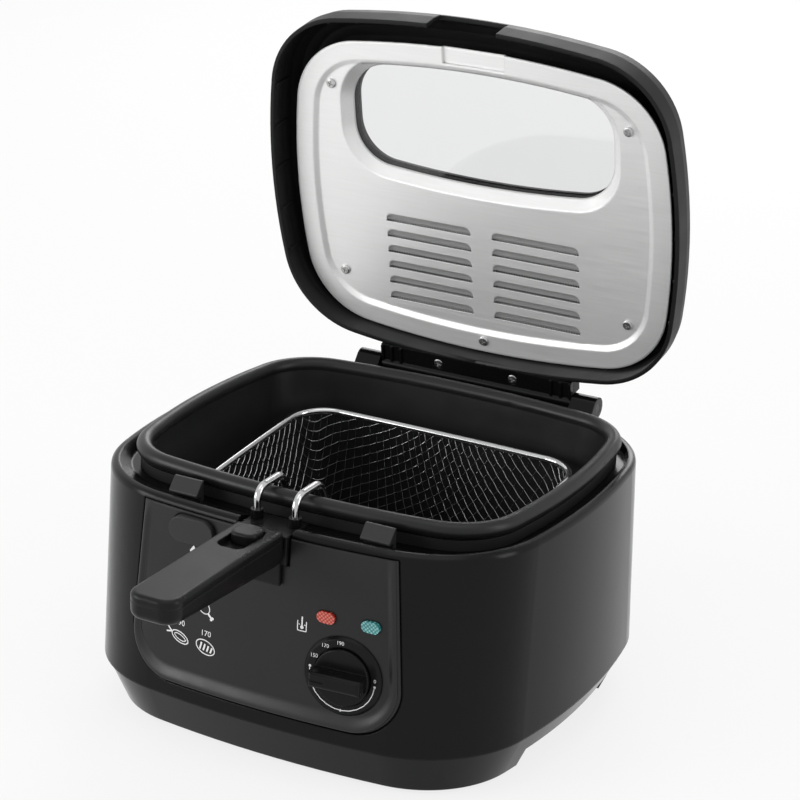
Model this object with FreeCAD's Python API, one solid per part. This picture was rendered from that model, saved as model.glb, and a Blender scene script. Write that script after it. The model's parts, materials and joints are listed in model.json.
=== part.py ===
import FreeCAD, Part
import math
import os
from FreeCAD import Placement, Rotation, Vector

# Household deep fryer: a moulded body with a fixed coated pot, a hinged lid with
# a viewing window, and a wire basket that hangs on the pot's rim by two hooks and
# has a fold-down handle. Millimetres, +X to the right seen from the front, +Y to
# the rear, +Z up. The lid stands open, the basket hangs in the pot, and the handle
# is level. All sizes below are measured from the floor under the middle of the body.

# The pieces are saved with the origin under the middle of the whole product as it
# stands, lid open and handle out, which is this far in front of the body's middle
origin_forward = 40.455

# Bowed rounded rectangles: every large outline has the same gently bowed sides
side_bow = 360.0
front_bow = 570.0

# Body
body_half_x = 130.8
body_half_y = 117.2
body_corner = 66.0
body_top_z = 136.4
body_edge_round = 3.2
body_round_steps = 3
waist_z = 26.5
waist_flare_x = 1.8
waist_flare_y = 6.4
wall = 3.4
deck_thick = 3.0
shoulder_rim = 1.2
shoulder_drop = 5.4

# Base tray under the body
floor_gap = 3.0
band_inset = 11.5
band_step = 0.9
tray_hollow_inset = 27.0
tray_floor = 4.0
grip_half_length = 52.0
grip_height = 11.0
grip_depth = 9.0
vent_count = 9
vent_pitch = 9.0
vent_width = 3.5
vent_length = 60.0

# Feet
foot_inset_x = 43.8
foot_x = body_half_x - foot_inset_x
foot_inset_y = 33.2
foot_y = body_half_y - foot_inset_y
foot_r = 9.0
foot_taper = 1.2
foot_head_r = 3.6
foot_head_depth = 1.6
foot_screw_r = 1.6
foot_screw_length = 14.0
foot_screw_gap = 0.05

# Pot
pot_centre_y = 5.3
pot_inset_x = 15.7
pot_half_x = body_half_x - pot_inset_x
pot_inset_y = 21.7
pot_half_y = body_half_y - pot_inset_y
pot_corner = 36.0
pot_rim_r = 4.4
pot_rim_rise = 5.1
pot_rim_z = body_top_z + pot_rim_rise
pot_thick = 1.5
pot_floor_z = 36.0
pot_taper = 11.0
pot_heel = 9.0
pot_heel_share = 0.3
deck_hole_gap = 0.8
seal_width = 3.6
seal_gap = 0.1
groove = 2.6

# Heater under the pot
heater_r = 3.2
heater_inset = 34.0
heater_corner = 40.0
heater_gap = 0.05

# Control panel, an inset with rounded lower corners in the front wall
panel_half_x = 81.0
panel_top_half_x = 75.5
panel_bottom_z = 34.6
panel_corner = 27.0
panel_depth = 2.2
panel_proud = 0.9
panel_gap = 0.5
panel_ledge = 5.0
panel_edge_round = 2.2
panel_back_gap = 0.1

# Notch in the front edge for the basket's bracket
notch_half_x = 16.4
notch_drop = 18.4
notch_floor_z = body_top_z - notch_drop
notch_reach = 20.0
notch_back_y = notch_reach - body_half_y
notch_wall = 2.2

# Release button
button_x = -42.0
button_drop = 12.4
button_z = body_top_z - button_drop
button_half_length = 13.2
button_half_height = 7.0
button_proud = 3.4
button_gap = 0.4
button_travel = 3.0
button_flange = 1.6
button_flange_thick = 1.8

# Catches for the lid in front of the pot's rim
catch_x = 57.0
catch_width = 17.0
catch_rise = 6.6
catch_top_z = body_top_z + catch_rise
catch_gap = 0.9
catch_seat = 1.0
catch_slot_gap = 0.15
catch_thick = 2.6
catch_nose = 4.2
catch_nose_drop = 5.0
catch_gusset = 1.4

# Lamps
lamp_red_x = 38.6
lamp_green_x = 63.2
lamp_z = 95.6
lamp_half_length = 5.2
lamp_half_height = 3.1
lamp_proud = 0.7
lamp_gap = 0.1
lamp_body = 6.0

# Dial
dial_x = 49.6
dial_z = 65.8
bezel_r = 21.4
bezel_hole_r = 15.9
bezel_height = 2.6
bezel_seat = 1.2
knob_r = 15.3
knob_height = 3.4
knob_gap = 0.5
grip_bar_length = 28.6
grip_bar_width = 8.4
grip_bar_height = 9.5
grip_bar_round = 2.0
grip_mark_width = 1.6
grip_mark_length = 9.0
grip_mark_depth = 0.6
shaft_r = 3.0
shaft_gap = 0.05
shaft_length = 22.0
thermostat_size = 30.0
thermostat_depth = 15.0

# Cord inlet at the rear
gland_x = 62.0
gland_z = 44.0
gland_r = 6.5
gland_flange_r = 9.0
gland_flange = 2.4
gland_bore_r = 3.6
gland_gap = 0.15
gland_sleeve = 6.8

# Lid hinge
hinge_behind = 3.3
hinge_y = body_half_y + hinge_behind
hinge_rise = 3.7
hinge_z = body_top_z + hinge_rise
hinge_pin_r = 2.0
hinge_pin_gap = 0.05
knuckle_r = 4.1
knuckle_half_x = 61.5
lug_gap = 0.6
lug_width = 15.0
lug_r = 6.2
lug_root_inset = 6.8
lug_root_y = body_half_y - lug_root_inset
lug_root_drop = 7.4
lug_root_z = body_top_z - lug_root_drop
lid_open = 80.1

# Lid shell, drawn closed and then swung open
lid_inset_x = 3.2
lid_half_x = body_half_x - lid_inset_x
lid_inset_y = 13.2
lid_half_y = body_half_y - lid_inset_y
lid_corner = 51.0
lid_rim_rise = 1.6
lid_rim_z = body_top_z + lid_rim_rise
lid_rear_inset = 8.2
lid_rear_y = body_half_y - lid_rear_inset
lid_skirt = 11.0
lid_wall = 2.4
lid_crown = 18.0
lid_crown_inset = 17.0
lid_crown_steps = 4
lid_notch_half_x = 21.0
lid_notch_height = 15.6
rib_thick = 1.2
rib_depth = 1.2
rib_low = 1.5
rib_high = 14.0
rib_front_x = (28.0, 41.0, 66.0, 84.0)
rib_side_y = (-52.0, -26.0, 0.0, 26.0, 52.0)
rib_bite = 0.4
vent_rows = 6
vent_row_pitch = 9.98
vent_slot = 4.2
vent_inner_x = 7.4
vent_outer_x = 60.4
vent_first_y = 31.3

# Lid liner, a stamped sheet
liner_inset_x = 9.6
liner_half_x = lid_half_x - liner_inset_x
liner_inset_y = 10.8
liner_half_y = lid_half_y - liner_inset_y
liner_rear_gap = 3.6
liner_centre_y = lid_rear_y - liner_rear_gap - liner_half_y
liner_corner = 45.0
liner_rise = 12.5
liner_sheet = 1.0
liner_border = 10.0
liner_step = 1.5
liner_slope = 3.0
louvre_hood = 2.6
louvre_hood_thick = 0.7
louvre_slot = 3.0
liner_tab_half_x = 19.0
liner_tab_margin = 0.4

# Window in the lid
window_inset_x = 37.0
window_half_x = liner_half_x - window_inset_x
window_half_y = 33.8
window_margin = 16.4
window_front_y = liner_centre_y - liner_half_y + window_margin
window_centre_y = window_front_y + window_half_y
window_corner = 24.0
window_funnel = 6.0
window_funnel_rise = 6.0
window_lap = 4.0
glass_thick = 3.2
filter_thick = 1.6
filter_margin = 4.0
filter_gap = 0.1

# Screws that hold the liner
liner_screw_front_inset = 25.9
liner_screw_front_x = liner_half_x - liner_screw_front_inset
liner_screw_front_reach = 59.9
liner_screw_front_y = liner_centre_y - liner_screw_front_reach
liner_screw_rear_inset = 27.3
liner_screw_rear_x = liner_half_x - liner_screw_rear_inset
liner_screw_rear_reach = 57.8
liner_screw_rear_y = liner_centre_y + liner_screw_rear_reach
liner_screw_mid_inset = 7.0
liner_screw_mid_y = liner_centre_y + liner_half_y - liner_screw_mid_inset
liner_screw_head_r = 2.9
liner_screw_head = 1.4
liner_screw_r = 1.4
liner_screw_gap = 0.05
liner_screw_length = 8.0
liner_boss_r = 3.8

# Hinge plate of the lid
plate_inset = 2.2
plate_front_y = lid_rear_y - plate_inset
plate_thick = 3.0
plate_gap = 0.2
plate_rib_pitch = 6.0
plate_rib_count = 3
plate_rib = 0.8
cover_clear = 4.7
cover_rear_y = hinge_y - cover_clear
cover_height = 11.0
hinge_screw_x = 24.0
hinge_screw_clear = 7.9
hinge_screw_y = hinge_y - hinge_screw_clear
hinge_screw_head_r = 3.0
hinge_screw_head = 1.5
hinge_screw_r = 1.4
hinge_screw_length = 8.0
hinge_screw_gap = 0.05

# Basket
basket_inset_x = 26.8
basket_half_x = pot_half_x - basket_inset_x
basket_inset_y = 26.5
basket_half_y = pot_half_y - basket_inset_y
basket_shift = 4.7
basket_centre_y = pot_centre_y + basket_shift
basket_corner = 22.0
basket_flatness = 6.0
basket_drop = 25.8
basket_rim_z = pot_rim_z - basket_drop
basket_rim_r = 2.0
basket_depth = 56.0
basket_taper = 8.0
basket_heel = 5.0
basket_wall = 1.8
basket_tilt = 4.3
basket_lip = 1.4
mesh_fit = 0.05
mesh_pitch = 15.0
mesh_wire = 2.6
mesh_corner_angles = (27.0, 45.0, 63.0)

# Hook wires from the basket over the pot's rim
hook_x = 11.3
hook_r = 2.0
hook_rise = 8.3
hook_top_z = pot_rim_z + hook_rise
hook_inner_reach = 35.2
hook_inner_y = hook_inner_reach - body_half_y
hook_outer_reach = 11.7
hook_outer_y = hook_outer_reach - body_half_y
hook_bend = 7.0
hook_seat = 9.0
collar_r = 3.4
collar_height = 5.0
collar_gap = 0.05

# Bracket that carries the handle
bracket_half_x = 15.2
bracket_proud = 3.2
bracket_front_y = -body_half_y - bracket_proud
bracket_reach = 18.2
bracket_back_y = bracket_reach - body_half_y
bracket_gap = 0.4
bracket_low_z = notch_floor_z + bracket_gap
bracket_drop = 2.4
bracket_top_z = body_top_z - bracket_drop
flange_half_x = 12.4
flange_height = 10.9
flange_low_z = bracket_low_z - flange_height
flange_thick = 1.8
tongue_half_x = 4.6
tongue_r = 5.4
tongue_gap = 0.5

# Handle
pivot_reach = 8.2
pivot_y = bracket_front_y - pivot_reach
pivot_drop = 7.6
pivot_z = bracket_top_z - pivot_drop
pivot_r = 2.0
pivot_gap = 0.05
pivot_half_length = 11.0
handle_half_x = 14.0
handle_root_reach = 6.6
handle_root_y = pivot_y + handle_root_reach
handle_length = 101.0
handle_end_y = handle_root_y - handle_length
handle_root_r = 6.8
handle_low_z = pivot_z - handle_root_r
handle_flare = 2.6
handle_end_low_z = handle_low_z - handle_flare
handle_rise = 11.0
handle_top_z = pivot_z + handle_rise
handle_cap = 4.6
handle_split_z = handle_top_z - handle_cap
handle_corner = 9.0
handle_under_round = 3.2
handle_round = 2.4
slider_half_x = 7.4
slider_length = 14.5
slider_shift = 2.6
slider_back_y = pivot_y + slider_shift
slider_front_y = slider_back_y - slider_length
slider_proud = 2.6
slider_corner = 5.0
slider_round = 1.4
slider_gap = 0.4
slider_travel = 8.0
pocket_length = 12.0
pocket_front_y = slider_front_y - pocket_length
pocket_clear = 1.4
pocket_back_y = slider_back_y + pocket_clear
pocket_floor = 0.8
pocket_floor_z = handle_split_z + pocket_floor

FAR = 400.0
X_AXIS = Vector(1, 0, 0)
Y_AXIS = Vector(0, 1, 0)
Z_AXIS = Vector(0, 0, 1)
DIAGONAL = math.sqrt(1 / 2)


def outline(half_x, half_y, corner, z, centre_y=0.0, flatness=1.0):
    """Rounded rectangle with bowed sides: eight arcs, each tangent to the next."""
    side_r = side_bow * flatness
    front_r = front_bow * flatness
    side_centre = half_x - side_r
    front_centre = half_y - front_r
    reach_side = side_r - corner
    reach_front = front_r - corner
    apart = math.hypot(side_centre, front_centre)
    along = (reach_side**2 - reach_front**2 + apart**2) / (2 * apart)
    across = math.sqrt(reach_side**2 - along**2)
    ux = -side_centre / apart
    uy = front_centre / apart
    corner_x = side_centre + ux * along - uy * across
    corner_y = uy * along + ux * across
    side_angle = math.atan2(corner_y, corner_x - side_centre)
    front_angle = math.atan2(corner_y - front_centre, corner_x)
    middle = (side_angle + front_angle) / 2
    on_side = (side_centre + side_r * math.cos(side_angle), side_r * math.sin(side_angle))
    on_front = (front_r * math.cos(front_angle), front_centre + front_r * math.sin(front_angle))
    on_corner = (corner_x + corner * math.cos(middle), corner_y + corner * math.sin(middle))

    def at(point, sx, sy):
        return Vector(sx * point[0], sy * point[1] + centre_y, z)

    def arc(a, b, c):
        return Part.Arc(a, b, c).toShape()

    right = arc(at(on_side, 1, -1), Vector(half_x, centre_y, z), at(on_side, 1, 1))
    rear_right = arc(at(on_side, 1, 1), at(on_corner, 1, 1), at(on_front, 1, 1))
    rear = arc(at(on_front, 1, 1), Vector(0, half_y + centre_y, z), at(on_front, -1, 1))
    rear_left = arc(at(on_front, -1, 1), at(on_corner, -1, 1), at(on_side, -1, 1))
    left = arc(at(on_side, -1, 1), Vector(-half_x, centre_y, z), at(on_side, -1, -1))
    front_left = arc(at(on_side, -1, -1), at(on_corner, -1, -1), at(on_front, -1, -1))
    front = arc(at(on_front, -1, -1), Vector(0, centre_y - half_y, z), at(on_front, 1, -1))
    front_right = arc(at(on_front, 1, -1), at(on_corner, 1, -1), at(on_side, 1, -1))
    return Part.Wire([right, rear_right, rear, rear_left, left, front_left, front, front_right])


def loft(wires):
    return Part.makeLoft(wires, True, True)


def prism(wire, height):
    return Part.Face(wire).extrude(Vector(0, 0, height))


def block(x0, x1, y0, y1, z0, z1):
    return Part.makeBox(x1 - x0, y1 - y0, z1 - z0, Vector(x0, y0, z0))


def rod(radius, start, end):
    axis = end - start
    return Part.makeCylinder(radius, axis.Length, start, axis)


def profile_yz(points, x0, x1):
    """A flat profile in the YZ plane, drawn out along X."""
    corners = [Vector(x0, y, z) for y, z in points]
    corners.append(corners[0])
    return Part.Face(Part.makePolygon(corners)).extrude(Vector(x1 - x0, 0, 0))


def pill_xz(x, z, half_length, half_height, y0, y1):
    """A slot-shaped bar along Y with round ends left and right."""
    flat = half_length - half_height
    bar = block(x - flat, x + flat, y0, y1, z - half_height, z + half_height)
    for side in (-1, 1):
        centre = Vector(x + side * flat, y0, z)
        bar = bar.fuse(Part.makeCylinder(half_height, y1 - y0, centre, Y_AXIS))
    return bar.removeSplitter()


def ring_prism(half_x, half_y, corner, centre_y, inner, outer, z0, z1):
    """A closed band along an outline, from inner to outer beyond it."""
    big = prism(outline(half_x + outer, half_y + outer, corner + outer, z0, centre_y), z1 - z0)
    small = prism(outline(half_x + inner, half_y + inner, corner + inner, z0, centre_y), z1 - z0)
    return big.cut(small)


def tube(path, radius):
    """A round bar along a path of lines and arcs."""
    runs = []
    for edge in path.OrderedEdges:
        start = edge.valueAt(edge.FirstParameter)
        heading = edge.tangentAt(edge.FirstParameter)
        section = Part.Face(Part.Wire(Part.makeCircle(radius, start, heading)))
        if edge.Curve.TypeId == "Part::GeomCircle":
            turn = math.degrees(edge.LastParameter - edge.FirstParameter)
            runs.append(section.revolve(edge.Curve.Center, edge.Curve.Axis, turn))
        else:
            runs.append(section.extrude(edge.valueAt(edge.LastParameter) - start))
    return runs[0].multiFuse(runs[1:]).removeSplitter()


def bent_path(points, radius):
    """Straight runs through the points, joined by tangent arcs."""
    edges = []
    start = points[0]
    for before, corner, after in zip(points, points[1:], points[2:]):
        arrive = (corner - before).normalize()
        leave = (after - corner).normalize()
        half_turn = arrive.getAngle(leave) / 2
        trim = radius * math.tan(half_turn)
        inward = (leave - arrive).normalize()
        centre = corner + inward * (radius / math.cos(half_turn))
        enter = corner - arrive * trim
        leave_at = corner + leave * trim
        edges.append(Part.LineSegment(start, enter).toShape())
        edges.append(Part.Arc(enter, centre - inward * radius, leave_at).toShape())
        start = leave_at
    edges.append(Part.LineSegment(start, points[-1]).toShape())
    return Part.Wire(edges)


def revolve(points):
    """A profile of (radius, height) turned round the Z axis."""
    corners = [Vector(r, 0, z) for r, z in points]
    corners.append(corners[0])
    return Part.Face(Part.makePolygon(corners)).revolve(Vector(0, 0, 0), Z_AXIS, 360)


def facing(origin, normal):
    """The placement of a piece drawn on the XY plane and set square on a wall."""
    across = Z_AXIS.cross(normal).normalize()
    return Placement(origin, Rotation(across, normal.cross(across), normal, "ZXY"))


def placed(shape, placement):
    moved = shape.copy()
    moved.Placement = placement.multiply(moved.Placement)
    return moved


def save(name, shape):
    if shape.ShapeType == "Compound" and len(shape.Solids) == 1:
        shape = shape.Solids[0]
    seated = shape.copy()
    seated.translate(Vector(0, origin_forward, 0))
    seated.exportStep("parts/" + name + ".step")


def group(shapes):
    return Part.makeCompound(shapes)


os.makedirs("parts", exist_ok=True)


# Body wall: widest at the waist and drawn in towards the top

def body_wire(z, inset):
    share = (body_top_z - z) / (body_top_z - waist_z)
    half_x = body_half_x + waist_flare_x * share - inset
    half_y = body_half_y + waist_flare_y * share - inset
    return outline(half_x, half_y, body_corner - inset, z)


def body_solid(inset, z0, z1):
    return loft([body_wire(z0, inset), body_wire(z1, inset)])


def wall_y(x, z, inset=0.0):
    """Where the front wall's outer face is, at x and z."""
    share = (body_top_z - z) / (body_top_z - waist_z)
    half_y = body_half_y + waist_flare_y * share - inset
    return -(half_y - front_bow + math.sqrt(front_bow**2 - x**2))


def wall_normal(x):
    tilt = math.atan2(waist_flare_y, body_top_z - waist_z)
    turn = math.asin(x / front_bow)
    return Vector(
        math.sin(turn) * math.cos(tilt), -math.cos(turn) * math.cos(tilt), math.sin(tilt)
    )


def panel_prism(inset):
    """The panel's outline seen from the front, drawn out along Y."""
    top_z = body_top_z - body_edge_round - inset
    half = panel_half_x - inset
    top_half = panel_top_half_x - inset
    low = panel_bottom_z + inset
    corner = panel_corner - inset
    bend = corner * (1 - DIAGONAL)
    y = -FAR
    side_z = low + corner
    edges = [Part.LineSegment(Vector(-top_half, y, top_z), Vector(-half, y, side_z)).toShape()]
    edges.append(
        Part.Arc(
            Vector(-half, y, side_z),
            Vector(-half + bend, y, low + bend),
            Vector(-half + corner, y, low),
        ).toShape()
    )
    edges.append(
        Part.LineSegment(Vector(-half + corner, y, low), Vector(half - corner, y, low)).toShape()
    )
    edges.append(
        Part.Arc(
            Vector(half - corner, y, low),
            Vector(half - bend, y, low + bend),
            Vector(half, y, side_z),
        ).toShape()
    )
    edges.append(Part.LineSegment(Vector(half, y, side_z), Vector(top_half, y, top_z)).toShape())
    edges.append(Part.LineSegment(Vector(top_half, y, top_z), Vector(-top_half, y, top_z)).toShape())
    return Part.Face(Part.Wire(edges)).extrude(Vector(0, FAR, 0))


deck_low_z = body_top_z - shoulder_drop - deck_thick
shoulder_z = body_top_z - shoulder_drop
edge_start_z = body_top_z - body_edge_round

# Housing: outer wall with a rolled top edge
housing_wires = [body_wire(waist_z, 0), body_wire(edge_start_z, 0)]
for step in range(1, body_round_steps + 1):
    angle = math.radians(90 * step / body_round_steps)
    z = edge_start_z + body_edge_round * math.sin(angle)
    housing_wires.append(body_wire(z, body_edge_round * (1 - math.cos(angle))))
housing = loft(housing_wires)

# The shoulder falls from the outer edge to the groove round the pot's rim
groove_out = pot_rim_r + groove
shoulder = loft(
    [
        outline(
            pot_half_x + groove_out,
            pot_half_y + groove_out,
            pot_corner + groove_out,
            shoulder_z,
            pot_centre_y,
        ),
        body_wire(body_top_z, body_edge_round + shoulder_rim),
    ]
)
housing = housing.cut(shoulder)
housing = housing.cut(body_solid(wall, waist_z, deck_low_z))
deck_hole = prism(
    outline(
        pot_half_x - pot_rim_r / 2 + deck_hole_gap,
        pot_half_y - pot_rim_r / 2 + deck_hole_gap,
        pot_corner - pot_rim_r / 2 + deck_hole_gap,
        deck_low_z,
        pot_centre_y,
    ),
    FAR,
)
housing = housing.cut(deck_hole)

# Pocket in the front edge for the basket's bracket
pocket_front = wall_y(0, notch_floor_z, wall)
pocket = block(
    -notch_half_x - notch_wall,
    notch_half_x + notch_wall,
    pocket_front - notch_wall / 2,
    notch_back_y + notch_wall,
    notch_floor_z - notch_wall,
    deck_low_z,
)
notch = block(-notch_half_x, notch_half_x, -FAR, notch_back_y, notch_floor_z, FAR)
housing = housing.fuse(pocket).cut(notch)

# Recess for the panel, open behind it but for a ledge
inner_face = body_solid(panel_depth, waist_z, body_top_z)
recess = panel_prism(0).cut(inner_face)
opening = panel_prism(panel_ledge).common(
    block(-FAR, FAR, -FAR, pocket_front + wall, waist_z, notch_floor_z - notch_wall - panel_ledge)
)
housing = housing.cut(recess).cut(opening)

# The button and its flange pass the ledge
button_y = wall_y(button_x, button_z)
flange_y = wall_y(button_x - button_half_length - button_flange, button_z) + panel_depth + button_gap
button_hole = pill_xz(
    button_x,
    button_z,
    button_half_length + button_flange + button_gap,
    button_half_height + button_flange + button_gap,
    button_y,
    flange_y + button_flange_thick + button_travel + button_gap,
)
housing = housing.cut(button_hole)

# Slots in the shoulder for the lid's catches
lid_centre_y = lid_rear_y - lid_half_y


def lid_front_y(x):
    return lid_centre_y - lid_half_y + front_bow - math.sqrt(front_bow**2 - x**2)


catch_back_y = lid_front_y(catch_x - catch_width / 2) - catch_gap
catch_stem_y = catch_back_y - catch_thick
catch_low_z = shoulder_z - catch_seat
for side in (-1, 1):
    housing = housing.cut(
        block(
            side * catch_x - catch_width / 2 - catch_slot_gap,
            side * catch_x + catch_width / 2 + catch_slot_gap,
            catch_stem_y - catch_slot_gap,
            catch_back_y + catch_slot_gap,
            catch_low_z,
            FAR,
        )
    )

# Rear hole for the cord's gland
rear_normal = wall_normal(gland_x)
rear_normal.y = -rear_normal.y
gland_seat = facing(Vector(gland_x, -wall_y(gland_x, gland_z), gland_z), rear_normal)
gland_hole = Part.makeCylinder(gland_r + gland_gap, 3 * gland_sleeve, Vector(0, 0, -2 * gland_sleeve))
housing = housing.cut(placed(gland_hole, gland_seat))

# Hinge lugs on the rear edge
lug_x0 = knuckle_half_x + lug_gap
lug_x1 = lug_x0 + lug_width
for side in (-1, 1):
    x0 = min(side * lug_x0, side * lug_x1)
    x1 = max(side * lug_x0, side * lug_x1)
    lug = profile_yz(
        [
            (lug_root_y, lug_root_z),
            (lug_root_y, lid_rim_z - plate_rib),
            (hinge_y - lug_r * DIAGONAL, hinge_z + lug_r * DIAGONAL),
            (hinge_y + lug_r, hinge_z),
            (hinge_y + lug_r * DIAGONAL, hinge_z - lug_r * DIAGONAL),
            (-wall_y(x0, lug_root_z), lug_root_z),
        ],
        x0,
        x1,
    )
    lug = lug.fuse(rod(lug_r, Vector(x0, hinge_y, hinge_z), Vector(x1, hinge_y, hinge_z)))
    housing = housing.fuse(lug)
housing = housing.cut(
    rod(hinge_pin_r, Vector(-FAR, hinge_y, hinge_z), Vector(FAR, hinge_y, hinge_z))
)
save("housing", housing.removeSplitter())

hinge_pin = rod(hinge_pin_r, Vector(-lug_x1, hinge_y, hinge_z), Vector(lug_x1, hinge_y, hinge_z))
save("hinge_pin", hinge_pin)

# Base tray: a sloping band with finger grips at both sides and vents below

def tray_wire(z, inset):
    return body_wire(waist_z, inset).translated(Vector(0, 0, z - waist_z))


tray = loft([tray_wire(floor_gap, band_inset), tray_wire(waist_z, band_step)])
tray_inside_z = floor_gap + tray_floor
tray = tray.cut(
    loft([tray_wire(tray_inside_z, tray_hollow_inset), tray_wire(waist_z, tray_hollow_inset)])
)
grip_x = body_half_x + waist_flare_x - band_inset - grip_depth
for side in (-1, 1):
    x0 = min(side * grip_x, side * FAR)
    x1 = max(side * grip_x, side * FAR)
    grip = block(x0, x1, -grip_half_length, grip_half_length, 0, floor_gap + grip_height)
    tray = tray.cut(grip)
vents = []
for row in range(vent_count):
    y = (row - (vent_count - 1) / 2) * vent_pitch
    vents.append(
        block(-vent_length / 2, vent_length / 2, y - vent_width / 2, y + vent_width / 2, 0, waist_z)
    )
tray = tray.cut(group(vents))
feet = []
foot_screws = []
for sx in (-1, 1):
    for sy in (-1, 1):
        bottom = Vector(sx * foot_x, sy * foot_y, 0)
        top = bottom + Vector(0, 0, floor_gap)
        foot = Part.makeCone(foot_r - foot_taper, foot_r, floor_gap, bottom)
        foot = foot.cut(Part.makeCylinder(foot_head_r, foot_head_depth, bottom))
        foot = foot.cut(Part.makeCylinder(foot_screw_r + foot_screw_gap, floor_gap, bottom))
        feet.append(foot)
        seat = bottom + Vector(0, 0, foot_head_depth / 2)
        screw = Part.makeCylinder(foot_head_r - foot_screw_gap, foot_head_depth / 2, seat)
        screw = screw.fuse(Part.makeCylinder(foot_screw_r, foot_screw_length, seat))
        foot_screws.append(screw)
        tray = tray.cut(
            Part.makeCylinder(foot_screw_r + foot_screw_gap, foot_screw_length + foot_head_depth, bottom)
        )
save("base_tray", tray)
save("rubber_feet", group(feet))
save("foot_screws", group(foot_screws))


# Pot: drawn walls with a rolled rim

def pot_wire(z, inset, corner):
    return outline(pot_half_x - inset, pot_half_y - inset, corner, z, pot_centre_y)


def pot_body(skin):
    """The pot's outside, or its inside with skin as the sheet's thickness."""
    top_inset = pot_rim_r / 2 + skin
    low_inset = top_inset + pot_taper
    corner = pot_corner - top_inset
    floor = pot_floor_z + skin
    step = pot_heel * pot_heel_share
    return loft(
        [
            pot_wire(floor, low_inset + pot_heel, corner - pot_heel),
            pot_wire(floor + step, low_inset + step, corner - step),
            pot_wire(floor + pot_heel, low_inset, corner),
            pot_wire(pot_rim_z, top_inset, corner),
        ]
    )


rim_path = outline(pot_half_x, pot_half_y, pot_corner, pot_rim_z, pot_centre_y)
pot = pot_body(0).cut(pot_body(pot_thick)).fuse(tube(rim_path, pot_rim_r))
save("inner_pot", pot.removeSplitter())

seal_inner = deck_hole_gap - pot_rim_r / 2
seal_top_z = pot_rim_z - pot_rim_r - seal_gap
pot_seal = ring_prism(
    pot_half_x,
    pot_half_y,
    pot_corner,
    pot_centre_y,
    seal_inner,
    seal_inner + seal_width,
    shoulder_z,
    seal_top_z,
)
save("pot_seal", pot_seal)

heater_path = outline(
    pot_half_x - heater_inset,
    pot_half_y - heater_inset,
    heater_corner,
    pot_floor_z - heater_r - heater_gap,
    pot_centre_y,
)
save("heating_element", tube(heater_path, heater_r))

# Cord gland in the rear wall
gland = revolve(
    [
        (gland_bore_r, -gland_sleeve),
        (gland_r, -gland_sleeve),
        (gland_r, gland_gap),
        (gland_flange_r, gland_gap),
        (gland_flange_r, gland_flange / 2),
        (gland_flange_r - gland_flange / 2, gland_flange),
        (gland_bore_r, gland_flange),
    ]
)
save("cord_gland", placed(gland, gland_seat))

# Catches for the lid: wedges with a ledge, set in slots of the shoulder
catches = []
for side in (-1, 1):
    x0 = side * catch_x - catch_width / 2
    x1 = side * catch_x + catch_width / 2
    gusset_x = x0 if side > 0 else x1 - catch_thick
    ledge_z = catch_top_z - catch_nose_drop - catch_thick
    stem_y = catch_stem_y
    wedge = profile_yz(
        [
            (catch_back_y, catch_low_z),
            (catch_back_y, catch_top_z),
            (catch_back_y - catch_thick / 2, catch_top_z),
            (stem_y - catch_nose, ledge_z + catch_thick / 2),
            (stem_y - catch_nose, ledge_z),
            (stem_y, ledge_z),
            (stem_y, catch_low_z),
        ],
        x0,
        x1,
    )
    gusset = profile_yz(
        [
            (stem_y, ledge_z),
            (stem_y - catch_nose, ledge_z),
            (stem_y, ledge_z - catch_gusset),
        ],
        gusset_x,
        gusset_x + catch_thick,
    )
    catches.append(wedge.fuse(gusset).removeSplitter())
save("lid_catches", group(catches))

# Control panel: a curved plate that stands a little proud of the front wall
panel = body_solid(-panel_proud, waist_z, body_top_z).common(panel_prism(panel_gap))
panel = panel.cut(body_solid(panel_depth - panel_back_gap, waist_z, body_top_z))
panel = panel.removeSplitter()


def front_edges(shape):
    """The edges round the panel's front face, but for the top one."""
    found = []
    for edge in shape.Edges:
        middle = edge.valueAt((edge.FirstParameter + edge.LastParameter) / 2)
        proud = wall_y(middle.x, middle.z) - middle.y
        below_top = middle.z < body_top_z - body_edge_round - 2 * panel_gap
        if proud > panel_proud / 2 and below_top:
            found.append(edge)
    return found


panel = panel.makeFillet(panel_edge_round, front_edges(panel))
panel = panel.cut(notch)
panel = panel.cut(
    pill_xz(button_x, button_z, button_half_length + button_gap, button_half_height + button_gap, -FAR, 0)
)
for lamp_x in (lamp_red_x, lamp_green_x):
    panel = panel.cut(
        pill_xz(lamp_x, lamp_z, lamp_half_length + lamp_gap, lamp_half_height + lamp_gap, -FAR, 0)
    )
dial_seat = facing(
    Vector(dial_x, wall_y(dial_x, dial_z), dial_z) + wall_normal(dial_x) * panel_proud,
    wall_normal(dial_x),
)
dial_recess = Part.makeCylinder(bezel_r + lamp_gap, FAR, Vector(0, 0, -bezel_seat))
shaft_hole = Part.makeCylinder(shaft_r + shaft_gap, FAR, Vector(0, 0, -FAR / 2))
panel = panel.cut(placed(dial_recess, dial_seat)).cut(placed(shaft_hole, dial_seat))
save("control_panel", panel.removeSplitter())

# Lamps: clear lenses with a body behind the panel
for name, lamp_x in (("power_lens", lamp_red_x), ("ready_lens", lamp_green_x)):
    face_y = wall_y(lamp_x - lamp_half_length, lamp_z) - panel_proud - lamp_proud
    back_y = face_y + lamp_proud + lamp_body
    lens = pill_xz(lamp_x, lamp_z, lamp_half_length, lamp_half_height, face_y, back_y)
    save(name, lens)

# Release button with a flange that keeps it behind the panel
button_face_y = button_y - panel_proud - button_proud
button = pill_xz(button_x, button_z, button_half_length, button_half_height, button_face_y, flange_y)
button = button.fuse(
    pill_xz(
        button_x,
        button_z,
        button_half_length + button_flange,
        button_half_height + button_flange,
        flange_y,
        flange_y + button_flange_thick,
    )
)
save("release_button", button.removeSplitter())

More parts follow.
